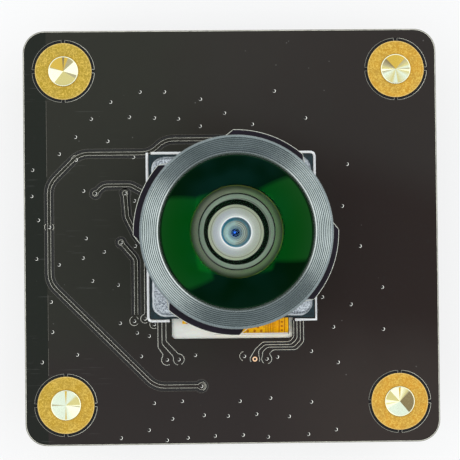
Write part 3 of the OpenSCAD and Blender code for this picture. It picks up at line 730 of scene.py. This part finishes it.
# the bead along the flange's edge, painted light as a highlight
plain_metal("edge_highlight", (0.80, 0.82, 0.72), (0.45, 0.46, 0.40), 0.3)
glass_finish("inner_glass", (0.97, 1.0, 1.0), (0.04, 0.08, 0.2))
pupil_finish()
washer_finish()
plain_metal("bare_ring", (0.86, 0.85, 0.88), (0.70, 0.70, 0.74), 0.3)
moulded("black_ring", (0.002, 0.002, 0.002), (0.001, 0.001, 0.001), 0.5, specular_ior_level=0.05)
stop_finish()
moulded("tape", (0.02, 0.02, 0.02), (0.012, 0.012, 0.012), 0.5)
plain_metal("silicon", (0.10, 0.10, 0.16), (0.05, 0.05, 0.09), 0.15, metallic=0.6)
glass_finish("filter_glass", (0.75, 0.95, 0.98), (0.8, 0.35, 0.5), 1.52)
moulded("adhesive", (0.90, 0.93, 0.94), (0.62, 0.66, 0.68), 0.2, coat_weight=0.4)
plain_metal("stiffener_steel", (0.60, 0.60, 0.60), (0.50, 0.50, 0.50), 0.28, 0.0008, 14.0)
moulded("connector_black", (0.022, 0.022, 0.024), (0.014, 0.014, 0.015), 0.42)
moulded("connector_cream", (0.74, 0.70, 0.60), (0.66, 0.61, 0.50), 0.4)
plain_metal("contact_gold", (0.98, 0.76, 0.34), (0.88, 0.62, 0.24), 0.22, 0.0006)
plain_metal("tinned_metal", (0.80, 0.81, 0.82), (0.62, 0.63, 0.65), 0.25, 0.0022, 6.0)
moulded("chip_plastic", (0.028, 0.028, 0.029), (0.018, 0.018, 0.019), 0.45, 0.0018, 14.0)
plain_metal("oscillator_lid", (0.78, 0.75, 0.66), (0.64, 0.60, 0.50), 0.25)
moulded("capacitor_ceramic", (0.36, 0.27, 0.17), (0.27, 0.19, 0.115), 0.4)
moulded("resistor_ceramic", (0.035, 0.035, 0.04), (0.02, 0.02, 0.024), 0.3)

dress("board_coating", "main_board")
dress("gold_plate", "front_pads", "rear_pads")
dress("turned_brass", *SPACERS)
dress("tape", "module_tape")
dress("module_coating", "module_board")
dress("silicon", "image_sensor")
dress("filter_glass", "infrared_filter")
dress("blasted_metal", "lens_holder")
dress("adhesive", "focus_glue", "foot_bead")
dress("black_anodised", "lens_barrel", "rear_retainer")
dress("grey_anodised", "front_ring")
dress("front_glass", "lens_1")
dress("inner_glass", "lens_2", "lens_3", "lens_5", "lens_6")
dress("pupil_glass", "lens_4")
dress("washer_metal", "glass_washer")
dress("black_ring", "spacer_ring_1", "spacer_ring_3", "spacer_ring_4")
dress("bare_ring", "spacer_ring_2")
dress("stop_sheet", "aperture_stop")
dress("flex_film", "module_flex")
dress("guide_plastic", "flex_guide")
dress("stiffener_steel", "flex_stiffener")
dress("connector_black", "module_plug", "module_socket", "ribbon_latch")
dress("connector_cream", "ribbon_housing")
dress("contact_gold", "ribbon_contacts")
dress("tinned_metal", "ribbon_tabs", "chip_terminals")
dress("chip_plastic", "regulator_1", "regulator_2", "regulator_3")
dress("oscillator_lid", "oscillator")
dress("capacitor_ceramic", "chip_capacitors")
dress("resistor_ceramic", "chip_resistors")


# Shapes ---------------------------------------------------------------------------------------

def turn(bm, outline, steps=96, centre=(0.0, 0.0)):
    """Turns an outline of (radius, level) round an upright axis."""
    points = [bm.verts.new((centre[0] + r, centre[1], z)) for r, z in outline]
    pairs = list(zip(points, points[1:]))
    if outline[0][0] > 0 or outline[-1][0] > 0:
        pairs.append((points[-1], points[0]))
    rim = [bm.edges.new(pair) for pair in pairs]
    bmesh.ops.spin(bm, geom=points + rim, cent=(*centre, 0), axis=(0, 0, 1),
                   angle=2 * math.pi, steps=steps, use_merge=True)


def dome(top, radius, start, end, count):
    """Points (radius, level) on a sphere whose top stands so high above the board's front."""
    centre = FRONT + top - radius
    reach = [start + (end - start) * k / count for k in range(count + 1)]
    return [(r, centre + math.sqrt(radius * radius - r * r)) for r in reach]


def rounded(corners, radius, closed=False):
    """A flat path with its corners rounded off."""
    corners = [Vector(c) for c in corners]
    count, path = len(corners), []
    for i, corner in enumerate(corners):
        if not closed and i in (0, count - 1):
            path.append(corner)
            continue
        back, on = corners[i - 1] - corner, corners[(i + 1) % count] - corner
        bend = math.pi - back.angle(on)
        cut = min(radius * math.tan(bend / 2), back.length * 0.48, on.length * 0.48)
        centre = corner + (back.normalized() + on.normalized()).normalized() * math.hypot(
            cut, cut / math.tan(bend / 2))
        spoke = corner + back.normalized() * cut - centre
        side = 1 if back.x * on.y - back.y * on.x < 0 else -1
        steps = max(2, round(math.degrees(bend) / 11))
        path += [centre + Matrix.Rotation(side * bend * k / steps, 2) @ spoke
                 for k in range(steps + 1)]
    return path


def beside(path, distance):
    """The path that runs at a distance to the left of another."""
    last, moved = len(path) - 1, []
    for i, point in enumerate(path):
        along = Vector((0.0, 0.0))
        if i < last:
            along += (path[i + 1] - point).normalized()
        if i > 0:
            along += (point - path[i - 1]).normalized()
        along.normalize()
        moved.append(point + Vector((-along.y, along.x)) * distance)
    return moved


def around(path, half, eye):
    """Up one side of a trace, round the via at its end and back down the other side."""
    left, right = beside(path, half), beside(path, -half)
    end = path[-1]
    along = (end - path[-2]).normalized()
    pull = along * math.sqrt(eye * eye - half * half)
    left[-1] -= pull
    right[-1] -= pull
    open_by = math.asin(half / eye)
    sweep_by = 2 * (math.pi - open_by)
    first = left[-1] - end
    arc = [end + Matrix.Rotation(-sweep_by * k / 20, 2) @ first for k in range(1, 20)]
    return left + arc + right[::-1]


def polar(radius, degrees):
    return radius * math.cos(math.radians(degrees)), radius * math.sin(math.radians(degrees))


def ring_path(radius, start, end, count, centre):
    """An arc, between two directions in degrees."""
    spokes = [polar(radius, start + (end - start) * k / count) for k in range(count + 1)]
    return [Vector((centre[0] + x, centre[1] + y)) for x, y in spokes]


def draw(bm, paths, section, closed=False, level=None):
    """Draws a section (across, up) along paths and adds it to a mesh."""
    def spline(curve, points, ring):
        line = curve.splines.new("POLY")
        line.points.add(len(points) - 1)
        for point, place in zip(line.points, points):
            point.co = (*place, 1.0)
        line.use_cyclic_u = ring

    shape = bpy.data.curves.new("section", "CURVE")
    shape.dimensions = "2D"
    spline(shape, [(u, v, 0.0) for u, v in section], True)
    shaper = bpy.data.objects.new("section", shape)
    route = bpy.data.curves.new("route", "CURVE")
    route.dimensions, route.twist_mode = "3D", "Z_UP"
    route.bevel_mode, route.bevel_object, route.use_fill_caps = "OBJECT", shaper, True
    for path in paths:
        spline(route, [(p[0], p[1], p[2] if level is None else level) for p in path], closed)
    runner = bpy.data.objects.new("route", route)
    for thing in (shaper, runner):
        scene.collection.objects.link(thing)
    graph = bpy.context.evaluated_depsgraph_get()
    mesh = bpy.data.meshes.new_from_object(runner.evaluated_get(graph))
    bm.from_mesh(mesh)
    bpy.data.meshes.remove(mesh)
    for thing, data in ((runner, route), (shaper, shape)):
        bpy.data.objects.remove(thing)
        bpy.data.curves.remove(data)


def piece(name, bm, look, sharp=32.0):
    """Closes a mesh drawn in millimetres and makes it a piece that rides on the camera."""
    bmesh.ops.remove_doubles(bm, verts=bm.verts, dist=1e-5)
    bmesh.ops.dissolve_degenerate(bm, dist=1e-6, edges=bm.edges)
    bmesh.ops.recalc_face_normals(bm, faces=bm.faces)
    bmesh.ops.scale(bm, vec=(MM, MM, MM), verts=bm.verts)
    mesh = bpy.data.meshes.new(name)
    for face in bm.faces:
        face.smooth = True
    bm.to_mesh(mesh)
    bm.free()
    mesh.set_sharp_from_angle(angle=math.radians(sharp))
    made = bpy.data.objects.new(name, mesh)
    scene.collection.objects.link(made)
    mesh.materials.append(finishes[look].material)
    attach(made, "camera")
    return made


# The board's relief ---------------------------------------------------------------------------

# The gap beside a trace: a sunk dark floor, a low outer rim painted lighter, and the trace's edge
# painted bright as a highlight
GAP = [(-0.185, -0.01), (-0.175, 0.006), (-0.155, 0.016), (-0.145, 0.016), (-0.12, 0.006),
       (-0.1, 0.001), (0.1, 0.001), (0.12, 0.01), (0.142, 0.034), (0.158, 0.034),
       (0.18, 0.008), (0.19, -0.01)]
# A crease painted bright as a highlight, in a dark floor, and a crease alone
CREASE = [(-0.13, -0.01), (-0.12, 0.001), (-0.05, 0.002), (-0.03, 0.018), (-0.01, 0.037),
          (0.01, 0.037), (0.03, 0.018), (0.05, 0.002), (0.12, 0.001), (0.13, -0.01)]
LINE = [(-0.042, -0.01), (-0.03, 0.014), (-0.01, 0.036), (0.01, 0.036), (0.03, 0.014),
        (0.042, -0.01)]
# Traces that end at a via: middle line, half width, bend and the reach round the via
TRACES = [
    ([(0.0, 8.95), (-6.1, 8.95), (-7.35, 7.7), (-13.9, 7.7), (-16.7, 4.9), (-16.7, -4.1),
      (-7.1, -13.7), (-2.9, -13.7)], 0.29, 2.0, 0.47),
    ([(-7.6, 3.9), (-9.2, 4.78), (-11.7, 4.78), (-12.45, 4.04)], 0.28, 0.9, 0.4),
    ([(-8.2, -0.6), (-8.8, 0.3), (-9.57, 1.87), (-9.73, 4.04)], 0.31, 0.8, 0.4),
    ([(-8.8, -7.1), (-8.8, -2.0), (-10.14, -0.47)], 0.30, 0.9, 0.4),
]
# Single edges that hook round a via: line, bend, then the via, reach, first and last direction
EDGES = [
    ([(-8.02, -1.3), (-8.02, -6.9)], 0.3, (-8.01, -7.47), 0.4, 85, 300),
    ([(-6.84, -7.75), (-6.84, -10.1), (-6.4, -10.75)], 0.35, (-6.03, -11.25), 0.5, 130, 300),
    ([(-6.47, -7.75), (-6.47, -9.8), (-5.5, -10.9)], 0.35, (-4.95, -11.23), 0.5, 155, 262),
    ([(-6.1, -7.75), (-6.1, -9.55), (-5.0, -10.7)], 0.35, (-4.95, -11.23), 0.5, 88, -62),
    ([(5.62, -7.75), (5.62, -9.3), (5.2, -9.72), (2.75, -9.72), (2.05, -10.4), (1.72, -10.95)],
     0.5, (2.03, -11.28), 0.44, 150, 215),
    ([(5.92, -7.75), (5.92, -9.45), (5.4, -9.97), (2.95, -9.97), (2.35, -10.5), (2.4, -10.95)],
     0.5, (2.03, -11.28), 0.44, 42, -30),
    ([(6.22, -7.75), (6.22, -9.6), (5.62, -10.2), (3.2, -10.2), (2.75, -10.6), (2.72, -10.95)],
     0.5, (3.11, -11.27), 0.46, 150, 235),
    ([(6.52, -7.75), (6.52, -9.75), (5.82, -10.45), (3.7, -10.45), (3.4, -10.75)],
     0.5, (3.11, -11.27), 0.46, 60, -75),
]
# Short arcs round other vias: middle, reach, first and last direction
ARCS = [
    ((-8.99, -7.67), 0.42, 110, 325), ((-8.99, -7.67), 0.42, 20, 60),
    ((-7.18, -7.99), 0.4, 30, 300), ((-16.7, 1.0), 0.42, 140, 220),
    ((-16.7, 1.0), 0.42, -40, 40), ((-14.2, 7.15), 0.42, 95, 175),
    ((1.05, -11.0), 0.42, 100, 250), ((-2.9, -13.7), 0.42, -70, 70),
]
# Vias that nothing above ends at
VIAS = [
    (-8.3, 13.35), (-6.05, 13.35), (-2.75, 12.65), (-11, 12.45), (-12.8, 10.9), (-9.3, 11.05),
    (-7, 10.95), (-4.8, 10.85), (-0.55, 11.35), (-2.8, 10.15), (-14.25, 9.25), (-11.3, 8.85),
    (-15.75, 7.7), (-18.2, 6.25), (-18.3, 3.85), (-13.55, 4.3), (-17.7, 1.65), (-8.95, 7.35),
    (-8.9, 3.35), (4.05, 13.35), (6.9, 10.85), (2, 10.3), (10.7, 6.55), (10.2, 2.7),
    (-13.35, -0.05), (-11.7, -1.3), (-13.65, -1.85), (-15.85, -2.45), (-17.9, -1.9),
    (-12.8, -3.95), (-10.45, -4.35), (-16.6, -5.85), (-10.3, -7.85), (-16.5, -8.6),
    (-8.75, -8.75), (-7.65, -9.05), (-17.45, -11.35), (-14.25, -10.7), (-8.4, -10.9),
    (-3.45, -10.85), (-7.25, -15.2), (-4.7, -15.05), (-5.6, -16.65), (-2.7, -16.35),
    (-0.5, -16.45), (-7.75, -17.65), (-10.3, -18.35), (-6.1, -18.6), (-4.2, -18.4),
    (-1.7, -18.25), (-8.85, -0.8), (11.8, -1), (13.8, -4.8), (10.9, -6.35), (8.25, -5.65),
    (9.25, -8.4), (13.85, -8.65), (7.2, -10.6), (9.65, -11.65), (0.6, -15.1), (3.4, -14.85),
    (7.15, -15.25), (2.1, -16.3), (5.1, -16.55), (9.4, -17.8), (6.85, -18.2), (0.85, -18.2),
    (3.15, -18.4), (4.08, -11.1),
]
OPEN_VIA = (2.03, -11.28)


def trace_gaps():
    """The edges of the copper under the coating."""
    bm = bmesh.new()
    draw(bm, [around(rounded(c, bend), half, eye) for c, half, bend, eye in TRACES], GAP,
         level=FRONT)
    hooks = [rounded(c, bend) + ring_path(eye, start, end, 12, via)[1:]
             for c, bend, via, eye, start, end in EDGES]
    draw(bm, hooks, CREASE, level=FRONT + 0.001)
    draw(bm, [ring_path(eye, start, end, 12, via) for via, eye, start, end in ARCS], LINE,
         level=FRONT)
    # the copper plane's edge along the left side
    draw(bm, [[(-16.9, 12.6), (-16.88, 5.6)], [(-16.86, -5.2), (-16.85, -9.4)],
              [(-16.85, -10.1), (-16.85, -12.6)]], LINE, level=FRONT - 0.012)
    # four gaps round each plated hole, divided by narrow bridges
    inner, outer, bridge = 2.63, 2.86, 3.4
    gaps = []
    for x in (-HOLE, HOLE):
        for y in (-HOLE, HOLE):
            for k in range(4):
                low, high = 90 * k + bridge, 90 * (k + 1) - bridge
                gaps.append(ring_path(inner, low, low, 1, (x, y))[:1]
                            + ring_path(outer, low, high, 24, (x, y))
                            + ring_path(inner, high, high, 1, (x, y))[:1])
    draw(bm, gaps, LINE, level=FRONT)
    piece("trace_gaps", bm, "coating_relief")


def board_rim():
    """The routed edge's arris round the front, its crest painted bright as a highlight."""
    bm = bmesh.new()
    reach = BOARD - 0.075
    path = rounded([(-reach, -reach), (reach, -reach), (reach, reach), (-reach, reach)], 1.93,
                   closed=True)
    draw(bm, [path], [(-0.06, -0.02), (-0.045, 0.012), (-0.015, 0.035), (0.015, 0.035),
                      (0.045, 0.008), (0.06, -0.02)], closed=True, level=FRONT)
    piece("board_rim", bm, "coating_relief")


def via_rings():
    """The coated vias: small rims, tilted a little so that the painted highlight on their crests
    falls to one side.
    """
    bm = bmesh.new()
    hump = [(0.0, 0.002), (0.09, 0.002), (0.1, 0.012), (0.135, 0.034), (0.165, 0.026),
            (0.19, -0.03), (0.0, -0.03)]
    turn(bm, [(r, z + FRONT) for r, z in hump], 12)
    bmesh.ops.remove_doubles(bm, verts=bm.verts, dist=1e-5)
    # the tilt lifts the +X side, where the crest's painted highlight shows
    for vert in bm.verts:
        if vert.co.z > FRONT:
            vert.co.z += vert.co.x * 0.1 - vert.co.y * 0.04
    first = list(bm.verts) + list(bm.edges) + list(bm.faces)
    ends = ([trace[0][-1] for trace in TRACES] + [edge[2] for edge in EDGES]
            + [arc[0] for arc in ARCS])
    for x, y in dict.fromkeys(VIAS + [end for end in ends if end != OPEN_VIA]):
        copy = bmesh.ops.duplicate(bm, geom=first)["geom"]
        bmesh.ops.translate(bm, vec=(x, y, 0.0),
                            verts=[g for g in copy if isinstance(g, bmesh.types.BMVert)])
    bmesh.ops.delete(bm, geom=[g for g in first if isinstance(g, bmesh.types.BMVert)])
    piece("via_rings", bm, "via_coating")


def open_via():
    """The one via left bare: a copper ring round its hole, whose flat floor is painted black as
    the hole's shade.
    """
    bm = bmesh.new()
    turn(bm, [(0.0, FRONT + 0.003), (0.11, FRONT + 0.003), (0.12, FRONT + 0.03),
              (0.22, FRONT + 0.03), (0.25, FRONT - 0.01), (0.0, FRONT - 0.01)], 32, OPEN_VIA)
    piece("open_via", bm, "via_copper")


def outline_print():
    """The white outline printed round the sensor module."""
    bm = bmesh.new()
    bar = [(-0.115, -0.005), (-0.115, 0.02), (-0.1, 0.028), (0.1, 0.028), (0.115, 0.02),
           (0.115, -0.005)]
    edge, slot = 7.7, 5.75             # half the outline, and half its opening at the slot
    draw(bm, [[(-edge, edge + 0.05), (-edge, -edge + 0.25), (-edge + 0.12, -edge + 0.06),
               (-edge + 0.35, -edge), (-slot, -edge)],
              [(-edge + 0.35, edge), (edge - 0.3, edge), (edge - 0.08, edge - 0.1),
               (edge, edge - 0.35), (edge, -edge), (slot, -edge)]], bar, level=FRONT)
    piece("outline_print", bm, "white_print")


def pilot_faces():
    """The spacers' turned end faces: fine ridges, and a rim that closes the gap to the plating."""
    for name in SPACERS:
        low, high = box_mm(name)
        centre = ((low[0] + high[0]) / 2, (low[1] + high[1]) / 2)
        top = high[2]
        bm = bmesh.new()
        ridges, pitch = [], 0.09
        for k in range(14):
            ridges += [(0.02 + pitch * k, top + 0.004), (0.065 + pitch * k, top + 0.0105)]
        rim = [(1.285, 0.004), (1.31, 0.012), (1.36, 0.010), (1.385, -0.02), (1.4, -0.06),
               (1.4, -0.115), (0.0, -0.115)]
        turn(bm, [(0.0, top + 0.004)] + ridges + [(r, top + z) for r, z in rim], 72, centre)
        piece("face_of_" + name, bm, "turned_brass", sharp=12.0)


# The optics -----------------------------------------------------------------------------------

def front_element():
    """The domed front glass: polished dome and hollow, ground and blackened edges."""
    bm = bmesh.new()
    front = dome(top=17.314, radius=11.5, start=0.0, end=6.5, count=44)
    hollow = dome(top=15.474, radius=4.13, start=3.52, end=0.0, count=40)
    neck, flange = 6.575, 7.19
    rim, shoulder, seat = FRONT + 15.2, FRONT + 14.752, FRONT + 13.5
    turn(bm, front + [(neck, rim), (neck, shoulder), (flange, shoulder), (flange, seat)]
         + hollow, 160)
    made = piece("front_element", bm, "front_glass")
    made.data.materials.append(finishes["hollow_glass"].material)
    for face in made.data.polygons:
        low = face.center.z / MM - FRONT < 15.6 and math.hypot(*face.center[:2]) / MM < 3.03
        face.material_index = 1 if low else 0
    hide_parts("lens_1")


def second_element():
    """The second glass, whose zone out from its middle, steep hollow included, is painted silver
    with the reflections it throws back.
    """
    bm = bmesh.new()
    edge, mouth, shoulder, seat = 4.69, 3.09, FRONT + 12.078, FRONT + 9.85
    front = dome(top=12.593, radius=9, start=0.0, end=3.0, count=24)
    hollow = dome(top=11.843, radius=3.4, start=mouth, end=0.0, count=32)
    turn(bm, front + [(edge, shoulder), (edge, seat), (mouth, seat)] + hollow[1:], 128)
    made = piece("second_element", bm, "second_glass")
    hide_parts("lens_2")


def third_element():
    """The third glass, polished on its dome."""
    bm = bmesh.new()
    edge, shoulder, seat = 3.69, FRONT + 8.919, FRONT + 8.1
    front = dome(top=9.512, radius=6, start=0.0, end=2.6, count=20)
    turn(bm, front + [(edge, shoulder), (edge, seat), (0.0, seat)])
    made = piece("third_element", bm, "inner_glass")
    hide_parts("lens_3")


def flange_edges():
    """The bright edge along the flange and its four grip lobes: a bead painted light as a
    highlight.
    """
    path, foot, tip, half, slant = [], 8.15, 8.85, 21.0, 7.0
    for k in range(4):
        middle = 70 + 90 * k
        for a in range(6):
            path.append(polar(foot, middle - 45 + a * (45 - half - slant) / 5))
        for a in range(11):
            path.append(polar(tip - 0.03, middle - half + a * half / 5))
        for a in range(5):
            path.append(polar(foot, middle + half + slant + a * (45 - half - slant) / 5))
    bm = bmesh.new()
    bead = [polar(0.035, 60 * k) for k in range(6)]
    draw(bm, [path], bead, closed=True, level=FRONT + FLANGE_TOP - 0.14)
    piece("flange_edges", bm, "edge_highlight")


def shank_thread():
    """The turns of the lens's thread between the holder and the head."""
    bm = bmesh.new()
    pitch, root, steps = 0.5, 5.9, 48
    count = int((SHANK_HIGH - SHANK_LOW) / pitch * steps)
    path = [(*polar(root, 360 * k / steps), SHANK_LOW + pitch * k / steps)
            for k in range(count + 1)]
    draw(bm, [path], [(-0.05, -0.2), (0.13, -0.03), (0.13, 0.03), (-0.05, 0.2)])
    piece("shank_thread", bm, "black_anodised")


def foot_fillet():
    """The uneven bead of adhesive round the holder's foot."""
    low, high = box_mm("foot_bead")
    half, level = high[0] - 0.11, low[2]
    path = rounded([(-half, -half), (half, -half), (half, half), (-half, half)], 1.08, closed=True)
    dense = []
    for a, b in zip(path, path[1:] + path[:1]):
        steps = max(1, int((b - a).length / 0.35))
        dense += [a.lerp(b, k / steps) for k in range(steps)]
    wavy = []
    for k, p in enumerate(dense):
        swell = 0.018 * math.sin(k * 0.9) + 0.014 * math.sin(k * 2.3 + 1.0)
        wavy.append(Vector((*(p + p.normalized() * swell), level)))
    bm = bmesh.new()
    draw(bm, [wavy], [(-0.1, 0.0), (-0.1, 0.3), (-0.07, 0.36), (0.0, 0.33), (0.07, 0.2),
                      (0.1, 0.06), (0.105, 0.0)], closed=True)
    made = piece("foot_fillet", bm, "adhesive", sharp=50.0)
    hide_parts("foot_bead")


trace_gaps()
board_rim()
via_rings()
pilot_faces()
open_via()
outline_print()
front_element()
second_element()
third_element()
flange_edges()
shank_thread()
foot_fillet()


# Camera, lamps and floor ----------------------------------------------------------------------

camera = bpy.data.objects.new("camera_view", bpy.data.cameras.new("camera_view"))
scene.collection.objects.link(camera)
camera.data.lens = 170.6
camera.data.sensor_width = 36.0
camera.data.clip_start, camera.data.clip_end = 0.005, 10.0
camera.location = (-0.0061, -0.00533, 0.2076)
camera.rotation_euler = [math.radians(a) for a in (1.711, -1.691, -0.603)]
scene.camera = camera


def softbox(name, azimuth, elevation, width, height, radiance, fade):
    """A lamp that faces the lens, of so many metres, with soft edges that take up a share."""
    distance = 0.6
    lamp = bpy.data.lights.new(name, "AREA")
    lamp.shape = "RECTANGLE"
    lamp.size, lamp.size_y = width, height
    lamp.energy = radiance * math.pi * width * height
    lamp.use_nodes = True
    nodes = Nodes(lamp.node_tree)
    across, along, _ = nodes.axes(nodes.node("ShaderNodeNewGeometry", output="Parametric"))
    soft = [abs(side - 0.5).rise(0.5 - fade / 2, 0.5, 1.0, 0.25) for side in (across, along)]
    nodes.fill(lamp.node_tree.nodes["Emission"].inputs["Strength"], soft[0] * soft[1])
    made = bpy.data.objects.new(name, lamp)
    a, e = math.radians(azimuth), math.radians(elevation)
    towards = Vector((math.cos(a) * math.cos(e), math.sin(a) * math.cos(e), math.sin(e)))
    made.location = Vector((0, 0, 0.02)) + towards * distance
    made.rotation_euler = towards.to_track_quat("Z", "Y").to_euler()
    made.visible_camera = False
    scene.collection.objects.link(made)


softbox("softbox_left", 190, 38, 0.95, 0.52, 1.3, 0.16)
softbox("softbox_right", 13, 38, 0.80, 0.52, 1.3, 0.16)
softbox("panel_above", 90, 90, 0.94, 0.94, 1.1, 0.12)

world = bpy.data.worlds.new("studio")
scene.world = world
world.use_nodes = True
# The room lights the module dimly and coolly, and what the camera sees of it is white
sky = Nodes(world.node_tree)
sky.tree.nodes.clear()
room = sky.node("ShaderNodeBackground", None, {"Color": (0.19, 0.225, 0.256)})
white = sky.node("ShaderNodeBackground", None, {"Color": (1.0, 1.0, 1.0)})
direct = sky.node("ShaderNodeLightPath", output="Is Camera Ray")
sky.fill(sky.tree.nodes.new("ShaderNodeOutputWorld").inputs[0],
         sky.node("ShaderNodeMixShader", None, {0: direct, 1: room, 2: white}))

bm = bmesh.new()
bmesh.ops.create_grid(bm, x_segments=4, y_segments=4, size=0.7)
mesh = bpy.data.meshes.new("floor")
bm.to_mesh(mesh)
bm.free()
floor = bpy.data.objects.new("floor", mesh)
scene.collection.objects.link(floor)
paper = Finish("floor_paper", roughness=0.9)
paper.set(base_color=paper.blend(paper.noise(paper.place(), 0.02, 2.0), (0.86, 0.86, 0.86),
                                 (0.9, 0.9, 0.9)))
# seen directly, in a reflection or through glass, the paper glows almost white
glow = paper.node("ShaderNodeEmission", None, {"Strength": 1.0})
camera_ray, glossy_ray, glass_ray = [
    paper.node("ShaderNodeLightPath", output="Is %s Ray" % kind)
    for kind in ("Camera", "Glossy", "Transmission")]
paper.cover((camera_ray + glossy_ray + glass_ray).least(1.0) * 0.75, glow)
mesh.materials.append(paper.material)

scene.view_settings.view_transform = "Standard"
